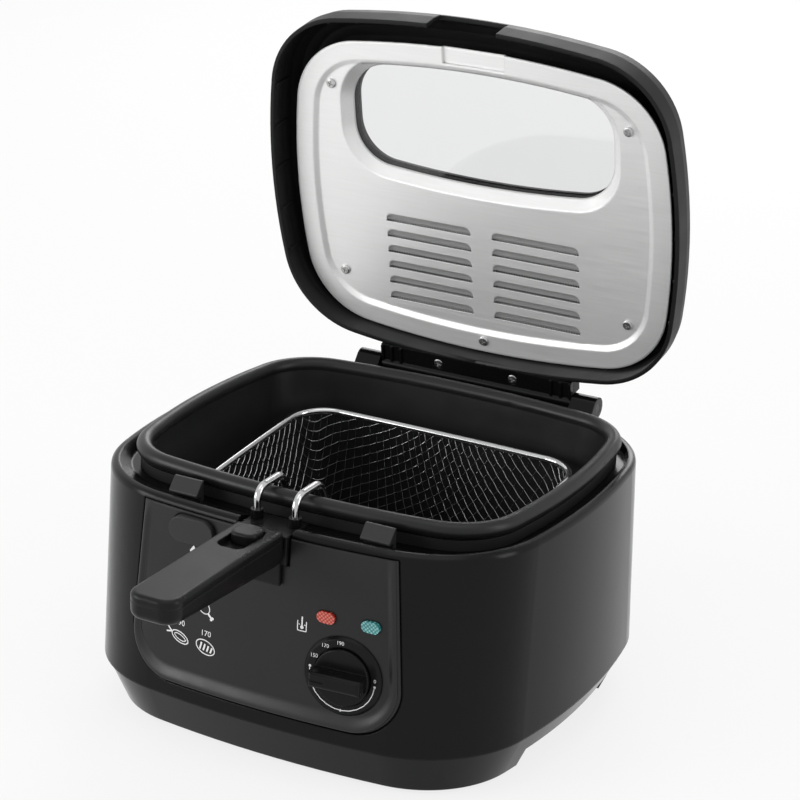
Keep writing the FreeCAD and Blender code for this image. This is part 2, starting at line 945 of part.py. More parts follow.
# Dial: a fixed bezel, a knob with a bar grip, and the thermostat behind the panel
bezel_top = bezel_height - bezel_seat
bezel = revolve(
    [
        (bezel_hole_r, -bezel_seat),
        (bezel_r, -bezel_seat),
        (bezel_r, bezel_top - bezel_height / 2),
        (bezel_r - bezel_height / 2, bezel_top),
        (bezel_hole_r, bezel_top),
    ]
)
save("dial_bezel", placed(bezel, dial_seat))

knob_low = knob_gap - bezel_seat
knob = Part.makeCylinder(knob_r, knob_height - knob_low, Vector(0, 0, knob_low))
knob = knob.makeChamfer(knob_gap, [edge for edge in knob.Edges if edge.BoundBox.ZMin > knob_low + knob_gap])
bar = Part.makeBox(
    grip_bar_length,
    grip_bar_width,
    knob_height + grip_bar_height - knob_low,
    Vector(-grip_bar_length / 2, -grip_bar_width / 2, knob_low),
)
bar_top = [edge for edge in bar.Edges if edge.BoundBox.ZMin > knob_height]
bar = bar.makeFillet(grip_bar_round, bar_top)
bar = bar.cut(
    Part.makeBox(
        grip_mark_length,
        grip_mark_width,
        grip_mark_depth,
        Vector(-grip_bar_length / 2, -grip_mark_width / 2, knob_height + grip_bar_height - grip_mark_depth),
    )
)
reach = Part.makeCylinder(knob_r, FAR, Vector(0, 0, knob_low))
knob = knob.fuse(bar.common(reach)).removeSplitter()
save("dial_knob", placed(knob, dial_seat))
shaft = Part.makeCylinder(shaft_r, shaft_length, Vector(0, 0, knob_low - shaft_length))
save("thermostat_shaft", placed(shaft, dial_seat))
thermostat_top = -panel_depth - panel_proud - knob_gap
thermostat = Part.makeBox(
    thermostat_size,
    thermostat_size,
    thermostat_depth,
    Vector(-thermostat_size / 2, -thermostat_size / 2, thermostat_top - thermostat_depth),
)
thermostat = thermostat.cut(shaft_hole)
save("thermostat_body", placed(thermostat, dial_seat))


# Lid: everything is drawn closed and swung open together

def swing(shape):
    opened = shape.copy()
    opened.rotate(Vector(0, hinge_y, hinge_z), X_AXIS, -lid_open)
    return opened


def lid_wire(z, inset):
    return outline(lid_half_x - inset, lid_half_y - inset, lid_corner - inset, z, lid_centre_y)


def lid_dome(skin):
    wires = [lid_wire(lid_rim_z, skin), lid_wire(lid_rim_z + lid_skirt, skin)]
    for step in range(1, lid_crown_steps + 1):
        angle = math.radians(90 * step / lid_crown_steps)
        z = lid_rim_z + lid_skirt + (lid_crown - skin) * math.sin(angle)
        wires.append(lid_wire(z, skin + lid_crown_inset * (1 - math.cos(angle))))
    return loft(wires)


def window_wire(z, grow):
    return outline(window_half_x + grow, window_half_y + grow, window_corner + grow, z, window_centre_y)


liner_z = lid_rim_z + liner_rise
field_z = liner_z + liner_step
lid_top_z = lid_rim_z + lid_skirt + lid_crown
lid_ceiling_z = lid_top_z - lid_wall
lid_outside = lid_dome(0)
lid_shell = lid_outside.cut(lid_dome(lid_wall))

# Ribs inside the skirt
rib_band = ring_prism(
    lid_half_x,
    lid_half_y,
    lid_corner,
    lid_centre_y,
    -lid_wall - rib_depth,
    rib_bite - lid_wall,
    lid_rim_z + rib_low,
    lid_rim_z + rib_high,
)
rib_slabs = []
for x in rib_front_x:
    for side in (-1, 1):
        rib_slabs.append(
            block(side * x - rib_thick / 2, side * x + rib_thick / 2, -FAR, lid_centre_y, lid_rim_z, FAR)
        )
for y in rib_side_y:
    rib_slabs.append(
        block(-FAR, FAR, lid_centre_y + y - rib_thick / 2, lid_centre_y + y + rib_thick / 2, lid_rim_z, FAR)
    )
lid_shell = lid_shell.fuse(rib_band.common(group(rib_slabs)))

# Bosses for the liner's screws, and the cover over the hinge plate
liner_screw_places = [(0, liner_screw_mid_y, liner_z)]
for side in (-1, 1):
    liner_screw_places.append((side * liner_screw_front_x, liner_screw_front_y, field_z))
    liner_screw_places.append((side * liner_screw_rear_x, liner_screw_rear_y, field_z))
for x, y, z in liner_screw_places:
    boss = Part.makeCylinder(liner_boss_r, lid_top_z - z, Vector(x, y, z + liner_sheet))
    lid_shell = lid_shell.fuse(boss.common(lid_outside))
plate_top_z = lid_rim_z + plate_thick + plate_gap
cover = block(
    -knuckle_half_x,
    knuckle_half_x,
    lid_rear_y - lid_wall,
    cover_rear_y,
    plate_top_z,
    lid_rim_z + cover_height,
)
lid_shell = lid_shell.fuse(cover)
cut_half_x = knuckle_half_x + lug_gap
lid_shell = lid_shell.cut(
    block(-cut_half_x, cut_half_x, plate_front_y - plate_gap, FAR, 0, plate_top_z)
)
for x, y, z in liner_screw_places:
    lid_shell = lid_shell.cut(
        Part.makeCylinder(liner_screw_r + liner_screw_gap, liner_screw_length, Vector(x, y, z))
    )
for side in (-1, 1):
    lid_shell = lid_shell.cut(
        Part.makeCylinder(
            hinge_screw_r + hinge_screw_gap,
            hinge_screw_length,
            Vector(side * hinge_screw_x, hinge_screw_y, lid_rim_z),
        )
    )

# Openings of the shell: window, steam vents and the notch for the hook wires
lid_shell = lid_shell.cut(prism(window_wire(lid_rim_z, 0), FAR))
vent_slots = []
louvre_slots = []
hoods = []
for row in range(vent_rows):
    y = vent_first_y + row * vent_row_pitch
    for side in (-1, 1):
        x0 = min(side * vent_inner_x, side * vent_outer_x)
        x1 = max(side * vent_inner_x, side * vent_outer_x)
        vent_slots.append(block(x0, x1, y - vent_slot / 2, y + vent_slot / 2, field_z, FAR))
        front = y - louvre_slot / 2
        back = y + louvre_slot / 2
        louvre_slots.append(block(x0, x1, front, back, 0, FAR))
        hoods.append(
            profile_yz(
                [
                    (front - louvre_hood_thick, field_z),
                    (back, field_z - louvre_hood),
                    (back, field_z - louvre_hood + louvre_hood_thick),
                    (front, field_z),
                ],
                x0,
                x1,
            )
        )
        for end in (x0 - louvre_hood_thick, x1):
            hoods.append(
                profile_yz(
                    [(front - louvre_hood_thick, field_z), (back, field_z - louvre_hood), (back, field_z)],
                    end,
                    end + louvre_hood_thick,
                )
            )
lid_shell = lid_shell.cut(group(vent_slots))
notch_depth_y = lid_centre_y - lid_half_y + 2 * lid_wall
lid_shell = lid_shell.cut(
    block(-lid_notch_half_x, lid_notch_half_x, -FAR, notch_depth_y, 0, lid_rim_z + lid_notch_height)
)
save("lid_shell", swing(lid_shell.removeSplitter()))


# Liner: a raised border, a sloped step down to the field, and a funnel to the glass

def liner_wire(z, inset):
    return outline(liner_half_x - inset, liner_half_y - inset, liner_corner - inset, z, liner_centre_y)


liner = prism(liner_wire(liner_z, 0), liner_sheet)
liner = liner.fuse(
    loft(
        [
            liner_wire(liner_z, liner_border),
            liner_wire(field_z + liner_sheet, liner_border + liner_slope),
        ]
    )
)
liner = liner.cut(
    loft(
        [
            liner_wire(liner_z, liner_border + liner_sheet),
            liner_wire(field_z, liner_border + liner_slope + liner_sheet),
        ]
    )
)
glass_z = field_z + window_funnel_rise
liner = liner.fuse(
    loft([window_wire(field_z, window_funnel + liner_sheet), window_wire(glass_z, liner_sheet)])
)
liner = liner.cut(loft([window_wire(field_z, window_funnel), window_wire(glass_z, 0)]))

# A flat tab at the front breaks the border, with a web at each side
tab_front_y = liner_centre_y - liner_half_y + liner_tab_margin
tab_back_y = window_centre_y - window_half_y - window_funnel - liner_tab_margin
liner = liner.cut(block(-liner_tab_half_x, liner_tab_half_x, -FAR, tab_back_y, 0, field_z))
liner = liner.fuse(
    block(
        -liner_tab_half_x,
        liner_tab_half_x,
        tab_front_y,
        tab_back_y,
        field_z,
        field_z + liner_sheet,
    )
)
for side in (-1, 1):
    x0 = min(side * liner_tab_half_x, side * (liner_tab_half_x + liner_sheet))
    liner = liner.fuse(
        block(
            x0,
            x0 + liner_sheet,
            tab_front_y + liner_tab_margin,
            tab_back_y,
            liner_z,
            field_z + liner_sheet,
        )
    )
liner = liner.cut(group(louvre_slots))
for hood in hoods:
    liner = liner.fuse(hood)
screws = []
for x, y, z in liner_screw_places:
    seat = Vector(x, y, z)
    liner = liner.cut(Part.makeCylinder(liner_screw_r + liner_screw_gap, 2 * liner_sheet, seat))
    screw = Part.makeCylinder(liner_screw_head_r, liner_screw_head, seat - Vector(0, 0, liner_screw_head))
    screws.append(screw.fuse(Part.makeCylinder(liner_screw_r, liner_screw_length, seat)))
save("lid_liner", swing(liner.removeSplitter()))
save("liner_screws", swing(group(screws)))

glass = prism(window_wire(glass_z, window_lap), glass_thick)
save("lid_window", swing(glass))
window_seal = ring_prism(
    window_half_x,
    window_half_y,
    window_corner,
    window_centre_y,
    liner_sheet / 2,
    window_lap,
    glass_z + glass_thick,
    lid_ceiling_z,
)
save("window_seal", swing(window_seal))
filter_z = field_z + liner_sheet + filter_gap
filter_mesh = block(
    -vent_outer_x - filter_margin,
    vent_outer_x + filter_margin,
    vent_first_y - filter_margin,
    vent_first_y + (vent_rows - 1) * vent_row_pitch + filter_margin,
    filter_z,
    filter_z + filter_thick,
)
save("steam_filter", swing(filter_mesh))

# Hinge plate with its knuckle
plate = block(-knuckle_half_x, knuckle_half_x, plate_front_y, hinge_y, lid_rim_z, lid_rim_z + plate_thick)
plate = plate.fuse(
    rod(knuckle_r, Vector(-knuckle_half_x, hinge_y, hinge_z), Vector(knuckle_half_x, hinge_y, hinge_z))
)
for side in (-1, 1):
    for rib in range(plate_rib_count):
        x = side * (knuckle_half_x - plate_rib - rib * plate_rib_pitch)
        rib_front_y = plate_front_y + plate_rib
        plate = plate.fuse(
            block(x - plate_rib, x + plate_rib, rib_front_y, hinge_y, lid_rim_z - plate_rib, lid_rim_z)
        )
plate = plate.cut(
    rod(hinge_pin_r + hinge_pin_gap, Vector(-FAR, hinge_y, hinge_z), Vector(FAR, hinge_y, hinge_z))
)
hinge_screws = []
for side in (-1, 1):
    seat = Vector(side * hinge_screw_x, hinge_screw_y, lid_rim_z)
    plate = plate.cut(Part.makeCylinder(hinge_screw_head_r + hinge_screw_gap, hinge_screw_head, seat))
    plate = plate.cut(Part.makeCylinder(hinge_screw_r + hinge_screw_gap, 2 * plate_thick, seat))
    screw = Part.makeCylinder(hinge_screw_head_r, hinge_screw_head, seat)
    hinge_screws.append(screw.fuse(Part.makeCylinder(hinge_screw_r, hinge_screw_length, seat)))
save("hinge_plate", swing(plate.removeSplitter()))
save("hinge_screws", swing(group(hinge_screws)))


# Basket: a net pressed to a tapered tub, hung by its rim wire

def tilt(shape):
    tilted = shape.copy()
    tilted.rotate(Vector(0, basket_centre_y, basket_rim_z), X_AXIS, basket_tilt)
    return tilted


def basket_wire(z, inset):
    return outline(
        basket_half_x - inset,
        basket_half_y - inset,
        basket_corner - inset,
        z,
        basket_centre_y,
        basket_flatness,
    )


basket_floor_z = basket_rim_z - basket_depth
mesh_inset = basket_rim_r + mesh_fit


def basket_tub(skin):
    inset = mesh_inset + skin
    return loft(
        [
            basket_wire(basket_floor_z + skin, inset + basket_taper + basket_heel),
            basket_wire(basket_floor_z + skin + basket_heel, inset + basket_taper),
            basket_wire(basket_rim_z + basket_lip, inset),
        ]
    )


net = basket_tub(0).cut(basket_tub(basket_wall))
gap = mesh_pitch - mesh_wire
flat_x = basket_half_x - basket_corner
flat_y = basket_half_y - basket_corner
columns = int(2 * flat_x / mesh_pitch)
rows = int(2 * flat_y / mesh_pitch)
levels = int((basket_depth - 2 * basket_heel) / mesh_pitch)
holes = []


def middle_of(index, count):
    return (index - (count - 1) / 2) * mesh_pitch


for level in range(levels):
    z0 = basket_floor_z + basket_heel + mesh_wire + level * mesh_pitch
    z1 = z0 + gap
    for column in range(columns):
        x = middle_of(column, columns)
        holes.append(block(x - gap / 2, x + gap / 2, -FAR, FAR, z0, z1))
    for row in range(rows):
        y = basket_centre_y + middle_of(row, rows)
        holes.append(block(-FAR, FAR, y - gap / 2, y + gap / 2, z0, z1))
net = net.cut(group(holes))
holes = []
for level in range(levels):
    z0 = basket_floor_z + basket_heel + mesh_wire + level * mesh_pitch
    for sx in (-1, 1):
        for sy in (-1, 1):
            for angle in mesh_corner_angles:
                radial = Part.makeBox(FAR, mesh_wire * 2, gap, Vector(0, -mesh_wire, 0))
                radial.rotate(Vector(0, 0, 0), Z_AXIS, angle)
                if sx < 0:
                    radial = radial.mirror(Vector(0, 0, 0), X_AXIS)
                if sy < 0:
                    radial = radial.mirror(Vector(0, 0, 0), Y_AXIS)
                radial.translate(Vector(sx * flat_x, basket_centre_y + sy * flat_y, z0))
                holes.append(radial)
net = net.cut(group(holes))
holes = []
for column in range(columns):
    for row in range(rows):
        x = middle_of(column, columns)
        y = basket_centre_y + middle_of(row, rows)
        top_z = basket_floor_z + 2 * basket_wall
        holes.append(block(x - gap / 2, x + gap / 2, y - gap / 2, y + gap / 2, 0, top_z))
net = net.cut(group(holes))
save("basket_mesh", tilt(net))
save("basket_rim", tilt(tube(basket_wire(basket_rim_z, 0), basket_rim_r)))

# Hook wires from the basket's rim over the pot's rim into the bracket
slope = math.radians(basket_tilt)
rim_front = Vector(
    0, basket_centre_y - basket_half_y * math.cos(slope), basket_rim_z - basket_half_y * math.sin(slope)
)
hooks = []
collars = []
for side in (-1, 1):
    shift = Vector(side * hook_x, 0, 0)
    inner = Vector(0, hook_inner_y, hook_top_z)
    outer = Vector(0, hook_outer_y, hook_top_z)
    end = Vector(0, hook_outer_y, bracket_top_z - hook_seat)
    rise = (inner - rim_front).normalize()
    start = rim_front + rise * (basket_rim_r + mesh_fit)
    route = bent_path([start + shift, inner + shift, outer + shift, end + shift], hook_bend)
    hooks.append(tube(route, hook_r))
    foot = Vector(side * hook_x, hook_outer_y, bracket_top_z)
    collar = Part.makeCylinder(collar_r, collar_height, foot)
    collars.append(collar.cut(Part.makeCylinder(hook_r + collar_gap, collar_height, foot)))
save("hook_wires", group(hooks))
save("wire_collars", group(collars))

# Bracket: it drops into the notch of the body and carries the handle's pivot
bracket = block(
    -bracket_half_x, bracket_half_x, bracket_front_y, bracket_back_y, bracket_low_z, bracket_top_z
)
bracket = bracket.fuse(
    block(
        -flange_half_x,
        flange_half_x,
        bracket_front_y - flange_thick,
        bracket_front_y,
        flange_low_z,
        pivot_z - tongue_r + flange_thick / 2,
    )
)
tongue = block(
    -tongue_half_x, tongue_half_x, pivot_y, bracket_front_y, pivot_z - tongue_r, pivot_z + tongue_r
)
tongue = tongue.fuse(
    rod(tongue_r, Vector(-tongue_half_x, pivot_y, pivot_z), Vector(tongue_half_x, pivot_y, pivot_z))
)
bracket = bracket.fuse(tongue)
bracket = bracket.cut(
    rod(pivot_r + pivot_gap, Vector(-FAR, pivot_y, pivot_z), Vector(FAR, pivot_y, pivot_z))
)
for side in (-1, 1):
    seat = Vector(side * hook_x, hook_outer_y, bracket_top_z - hook_seat)
    bracket = bracket.cut(Part.makeCylinder(hook_r + collar_gap, hook_seat, seat))
save("handle_bracket", bracket.removeSplitter())

# Handle: two shells round the pivot pin, with a lock slider in a pocket on top
lower = profile_yz(
    [
        (handle_root_y, handle_low_z),
        (handle_end_y, handle_end_low_z),
        (handle_end_y, handle_split_z),
        (handle_root_y, handle_split_z),
    ],
    -handle_half_x,
    handle_half_x,
)
upper = block(
    -handle_half_x, handle_half_x, handle_end_y, handle_root_y, handle_split_z, handle_top_z
)


def end_corners(shape):
    """The upright edges at the handle's free end."""
    found = []
    for edge in shape.Edges:
        box = edge.BoundBox
        upright = box.ZLength > handle_round and box.XLength < handle_round
        if upright and box.YMax < handle_end_y + handle_round:
            found.append(edge)
    return found


def upright_edges(shape):
    return [edge for edge in shape.Edges if edge.BoundBox.ZLength > handle_round]


lower = lower.makeFillet(handle_corner, end_corners(lower))
upper = upper.makeFillet(handle_corner, end_corners(upper))
under_edges = []
for edge in lower.Edges:
    box = edge.BoundBox
    if box.ZMax < handle_low_z + handle_round and box.YMin < handle_root_y - handle_round:
        under_edges.append(edge)
lower = lower.makeFillet(handle_under_round, under_edges)
top_edges = []
for edge in upper.Edges:
    box = edge.BoundBox
    if box.ZMin > handle_top_z - handle_round and box.YMin < handle_root_y - handle_round:
        top_edges.append(edge)
upper = upper.makeFillet(handle_round, top_edges)
slot_half_x = tongue_half_x + tongue_gap
lower = lower.cut(
    block(-slot_half_x, slot_half_x, pivot_y - tongue_r - tongue_gap, 0, 0, pivot_z + tongue_r + tongue_gap)
)
root_cut = block(-FAR, FAR, pivot_y, 0, 0, pivot_z)
root_cut = root_cut.cut(rod(handle_root_r, Vector(-FAR, pivot_y, pivot_z), Vector(FAR, pivot_y, pivot_z)))
lower = lower.cut(root_cut)
pin = rod(
    pivot_r, Vector(-pivot_half_length, pivot_y, pivot_z), Vector(pivot_half_length, pivot_y, pivot_z)
)
lower = lower.cut(pin)
pocket = block(
    -slider_half_x - slider_gap,
    slider_half_x + slider_gap,
    pocket_front_y,
    pocket_back_y,
    pocket_floor_z,
    FAR,
)
upper = upper.cut(pocket.makeFillet(slider_corner, upright_edges(pocket)))
save("handle_lower_shell", lower.removeSplitter())
save("handle_upper_shell", upper.removeSplitter())
save("handle_pivot_pin", pin)
slider = block(
    -slider_half_x,
    slider_half_x,
    slider_front_y,
    slider_back_y,
    pocket_floor_z + slider_gap / 2,
    handle_top_z + slider_proud,
)
slider = slider.makeFillet(slider_corner, upright_edges(slider))
slider_top_z = handle_top_z + slider_proud
slider_edges = [edge for edge in slider.Edges if edge.BoundBox.ZMin > slider_top_z - slider_round]
slider = slider.makeFillet(slider_round, slider_edges)
save("handle_slider", slider)
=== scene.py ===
import bpy
import json
import math
from mathutils import Matrix, Vector


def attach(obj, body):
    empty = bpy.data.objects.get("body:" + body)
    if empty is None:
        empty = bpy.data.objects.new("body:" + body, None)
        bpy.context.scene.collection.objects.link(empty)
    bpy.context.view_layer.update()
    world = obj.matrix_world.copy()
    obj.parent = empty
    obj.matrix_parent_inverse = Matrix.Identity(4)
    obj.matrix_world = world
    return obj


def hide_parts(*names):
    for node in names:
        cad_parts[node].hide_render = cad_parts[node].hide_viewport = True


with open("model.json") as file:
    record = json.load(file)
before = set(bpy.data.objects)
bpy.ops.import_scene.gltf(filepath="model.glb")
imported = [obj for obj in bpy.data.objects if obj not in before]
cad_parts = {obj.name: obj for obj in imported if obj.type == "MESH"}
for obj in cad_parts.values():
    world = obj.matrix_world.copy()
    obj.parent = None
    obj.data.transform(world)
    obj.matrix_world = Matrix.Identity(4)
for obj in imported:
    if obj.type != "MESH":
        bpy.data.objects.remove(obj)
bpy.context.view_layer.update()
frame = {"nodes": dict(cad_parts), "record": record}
nodes = frame["nodes"]


# Housing and base tray
# The outer wall is one injection moulding in gloss black plastic, with the sloping
# shoulder round the pot; the tray below it is the same plastic, screwed on from below.
mm = 0.001


def feed(tree, socket, value):
    """Sets a socket to a number or colour, or joins it to another node's output."""
    if isinstance(value, bpy.types.NodeSocket):
        tree.links.new(value, socket)
    else:
        socket.default_value = value


def own_place(tree):
    """The piece's own coordinates."""
    return tree.nodes.new("ShaderNodeTexCoord").outputs["Object"]


def mottled(tree, place, scale, detail):
    """Soft patches from 0 to 1."""
    noise = tree.nodes.new("ShaderNodeTexNoise")
    for socket, value in (("Vector", place), ("Scale", scale), ("Detail", detail)):
        feed(tree, noise.inputs[socket], value)
    return noise.outputs["Fac"]


def ranged(tree, value, given, wanted):
    """A value, taken from one range to another and kept inside it."""
    spread = tree.nodes.new("ShaderNodeMapRange")
    feed(tree, spread.inputs["Value"], value)
    for socket, end in zip(("From Min", "From Max", "To Min", "To Max"), (*given, *wanted)):
        feed(tree, spread.inputs[socket], end)
    return spread.outputs["Result"]


def blend(tree, share, one, other):
    """A colour between two others, by a share from 0 to 1."""
    mix = tree.nodes.new("ShaderNodeMix")
    mix.data_type = "RGBA"
    feed(tree, mix.inputs["Factor"], share)
    feed(tree, mix.inputs[6], one)
    feed(tree, mix.inputs[7], other)
    return mix.outputs[2]


def skin_group(name):
    """A shader group with the sockets that the plastic and the metal skins share."""
    group = bpy.data.node_groups.new(name, "ShaderNodeTree")
    tones = (("Base", "Color"), ("Bloom", "Color"))
    amounts = (("Low", "Float"), ("High", "Float"), ("Grain", "Float"))
    results = (("Color", "Color"), ("Roughness", "Float"), ("Height", "Float"))
    for way, sockets in (("INPUT", tones + amounts), ("OUTPUT", results)):
        for socket, kind in sockets:
            group.interface.new_socket(
                name=socket, in_out=way, socket_type="NodeSocket" + kind
            )
    return group, group.nodes.new("NodeGroupInput").outputs


def lay_skin(group, given, tone, shine, height):
    """Tints a skin by its tone, and spreads its roughness by its shine."""
    result = group.nodes.new("NodeGroupOutput").inputs
    colour = blend(group, tone, given["Base"], given["Bloom"])
    rough = ranged(group, shine, (0.3, 0.7), (given["Low"], given["High"]))
    group.links.new(colour, result["Color"])
    group.links.new(rough, result["Roughness"])
    group.links.new(height, result["Height"])


def moulded_skin():
    """Shader group: a moulded plastic skin with faint flow patches and a fine grain."""
    group, given = skin_group("moulded_skin")
    place = own_place(group)
    patches = mottled(group, place, scale=18, detail=3)
    smears = mottled(group, place, scale=55, detail=5)
    grain = mottled(group, place, scale=given["Grain"], detail=2)
    lay_skin(group, given, tone=patches, shine=smears, height=grain)
    return group


def new_finish(name):
    """An empty material, with its node tree and its shader's sockets."""
    material = bpy.data.materials.new(name)
    material.use_nodes = True
    tree = material.node_tree
    return material, tree, tree.nodes["Principled BSDF"].inputs


def finish_of(name, skin, colours, rough, grain, relief, edge, metal=0.0, gloss=0.5):
    """A material on one of the skins, with edges rounded to the radius given in metres."""
    grain_depth = 0.3 * mm
    material, tree, shader = new_finish(name)
    link = tree.links.new
    shader["Metallic"].default_value = metal
    shader["Specular IOR Level"].default_value = gloss
    surface = tree.nodes.new("ShaderNodeGroup")
    surface.node_tree = skin
    surface.inputs["Base"].default_value = (*colours[0], 1)
    surface.inputs["Bloom"].default_value = (*colours[1], 1)
    surface.inputs["Low"].default_value = rough[0]
    surface.inputs["High"].default_value = rough[1]
    surface.inputs["Grain"].default_value = grain
    link(surface.outputs["Color"], shader["Base Color"])
    link(surface.outputs["Roughness"], shader["Roughness"])
    bump = tree.nodes.new("ShaderNodeBump")
    bump.inputs["Strength"].default_value = relief
    bump.inputs["Distance"].default_value = grain_depth
    link(surface.outputs["Height"], bump.inputs["Height"])
    if edge:
        bevel = tree.nodes.new("ShaderNodeBevel")
        bevel.samples = 4
        bevel.inputs["Radius"].default_value = edge
        link(bevel.outputs["Normal"], bump.inputs["Normal"])
    link(bump.outputs["Normal"], shader["Normal"])
    return material


def dress(material, *names):
    """Gives CAD pieces their finish."""
    for name in names:
        slots = nodes[name].data.materials
        slots.clear()
        slots.append(material)


plastic_skin = moulded_skin()
gloss_black = finish_of(
    "gloss_black_plastic", plastic_skin,
    colours=((0.0025, 0.0025, 0.0028), (0.004, 0.004, 0.0043)),
    rough=(0.13, 0.19), grain=900, relief=0.02, edge=1.4 * mm, gloss=0.15,
)
dress(gloss_black, "housing", "base_tray")


# Rubber feet, gland and seals
# Soft black rubber rings and bushes, pressed or screwed into their seats. The rubber
# is matt and has a slight bloom.
rubber_black = finish_of(
    "black_rubber", plastic_skin,
    colours=((0.008, 0.008, 0.008), (0.014, 0.014, 0.014)),
    rough=(0.6, 0.8), grain=1600, relief=0.12, edge=0.5 * mm, gloss=0.2,
)
dress(rubber_black, "rubber_feet", "cord_gland", "pot_seal", "window_seal")


# Pot
# A drawn aluminium pot with a rolled rim, sprayed inside and out with a black
# non-stick coating that has a fine orange-peel surface.
pot_coating = finish_of(
    "non_stick_coating", plastic_skin,
    colours=((0.008, 0.008, 0.0085), (0.012, 0.012, 0.0125)),
    rough=(0.30, 0.40), grain=1400, relief=0.10, edge=0.8 * mm, gloss=0.25,
)
dress(pot_coating, "inner_pot")


# Steel pieces
# Rods, pins and the heater are drawn or turned steel with fine lines from the tool.
# The lid's hinge pin is blackened, the others are bare.
def drawn_metal():
    """Shader group: bare metal with fine streaks and a little unevenness of shine."""
    group, given = skin_group("drawn_metal")
    draw = group.nodes.new("ShaderNodeMapping")
    draw.inputs["Scale"].default_value = (0.04, 1, 1)
    group.links.new(own_place(group), draw.inputs["Vector"])
    streaks = mottled(group, draw.outputs["Vector"], scale=given["Grain"], detail=4)
    lay_skin(group, given, tone=streaks, shine=streaks, height=streaks)
    return group


metal_skin = drawn_metal()
turned_steel = finish_of(
    "turned_steel", metal_skin,
    colours=((0.42, 0.42, 0.42), (0.55, 0.55, 0.54)),
    rough=(0.28, 0.42), grain=1800, relief=0.05, edge=0.2 * mm, metal=1.0,
)
dress(turned_steel, "handle_pivot_pin", "thermostat_shaft", "thermostat_body", "heating_element")
black_steel = finish_of(
    "blackened_steel", metal_skin,
    colours=((0.012, 0.012, 0.012), (0.020, 0.020, 0.020)),
    rough=(0.30, 0.42), grain=1800, relief=0.05, edge=0.2 * mm, gloss=0.3,
)
dress(black_steel, "hinge_pin")


# Lid shell
# A domed moulding in satin black plastic, ribbed inside; its skirt closes over the pot.
# It turns on the hinge pin and carries the liner on five bosses.
lid_black = finish_of(
    "lid_black_plastic", plastic_skin,
    colours=((0.006, 0.006, 0.0064), (0.009, 0.009, 0.0094)),
    rough=(0.44, 0.52), grain=1400, relief=0.03, edge=1.4 * mm, gloss=0.2,
)
dress(lid_black, "lid_shell")


# Control panel
# A satin black plate with a rolled rim, set into the front wall; lamps, dial and button
# come through it, and the signs on it are printed in white.
panel_tones = ((0.008, 0.008, 0.0085), (0.011, 0.011, 0.0115))
satin_black = finish_of(
    "satin_black_plastic", plastic_skin, colours=panel_tones,
    rough=(0.30, 0.40), grain=2600, relief=0.06, edge=1.4 * mm, gloss=0.3,
)
dress(satin_black, "control_panel")
hinge_behind = 120.5 * mm
body_y = frame["record"]["behaviour"]["joints"][0]["pos_m"][1] - hinge_behind


def panel_face(x, z):
    """Where the panel's front face is, in metres: the wall leans and is bowed."""
    half_depth, shoulder, proud = 117.2 * mm, 136.4 * mm, 0.9 * mm
    lean = 6.4 / 109.9
    bow = 570 * mm
    half = half_depth + lean * (shoulder - z) + proud
    return body_y - (half - bow + math.sqrt(bow ** 2 - x ** 2))


def clear_selection():
    if bpy.context.object and bpy.context.object.mode != "OBJECT":
        bpy.ops.object.mode_set(mode="OBJECT")
    bpy.ops.object.select_all(action="DESELECT")


def rim_path(share):
    """A point on the panel's outline in millimetres, its inward direction, how far it
    faces up, and how far the rim has risen from its upper end."""
    top, low, half, top_half, corner = 133.0, 35.1, 80.5, 75.1, 26.5
    end_length = 9.0
    slant = Vector((half - top_half, top - low - corner))
    turn = corner * math.pi / 2
    whole = 2 * slant.length + 2 * turn + 2 * (half - corner)
    run = whole * min(share, 1 - share)
    if run < slant.length:
        along = run / slant.length
        spot = Vector((-top_half - slant.x * along, top - slant.y * along))
        inward = Vector((slant.y, -slant.x)).normalized()
        facing = 0.0
    elif run < slant.length + turn:
        angle = (run - slant.length) / corner
        inward = Vector((math.cos(angle), math.sin(angle)))
        spot = Vector((corner - half, low + corner)) - inward * corner
        facing = math.sin(angle)
    else:
        spot = Vector((corner - half + run - slant.length - turn, low))
        inward = Vector((0, 1))
        facing = 1.0
    if share > 0.5:
        spot.x, inward.x = -spot.x, -inward.x
    return spot, inward, facing, min(1, run / end_length)


rim_foot, rim_inset, lip_wide = 0.02, 1.2, 1.4
side_height, more_height_below = 0.9, 1.2
side_slope, more_slope_below = 3.2, 4.8
lip_end, slope_end = 0.2, 0.85
clear_selection()
bpy.ops.mesh.primitive_grid_add(x_subdivisions=200, y_subdivisions=40, size=1)
rim = bpy.context.object
rim.name = "panel_rim"
for vertex in rim.data.vertices:
    spot, inward, facing, risen = rim_path(vertex.co.x + 0.5)
    around = vertex.co.y + 0.5
    height = rim_foot + (side_height + more_height_below * facing) * risen
    slope = side_slope + more_slope_below * facing
    if around < lip_end:
        roll = around / lip_end * math.pi / 2
        inset = rim_inset + lip_wide * (1 - math.cos(roll))
        rise = rim_foot + height * math.sin(roll)
    elif around < slope_end:
        fall = (around - lip_end) / (slope_end - lip_end)
        inset = rim_inset + lip_wide + slope * fall
        rise = rim_foot + height * (1 - fall * fall * (3 - 2 * fall))
    else:
        inset = rim_inset + (lip_wide + slope) * (1 - around) / (1 - slope_end)
        rise = rim_foot
    flat = spot + inward * inset
    x, z = flat.x * mm, flat.y * mm
    vertex.co = (x, panel_face(x, z) - rise * mm, z)
bpy.ops.object.mode_set(mode="EDIT")
bpy.ops.mesh.select_all(action="SELECT")
bpy.ops.mesh.remove_doubles(threshold=1e-6)
bpy.ops.mesh.select_all(action="SELECT")
bpy.ops.mesh.fill_holes(sides=0)
bpy.ops.mesh.normals_make_consistent(inside=False)
bpy.ops.object.mode_set(mode="OBJECT")
bpy.ops.object.shade_smooth_by_angle(angle=math.radians(35))
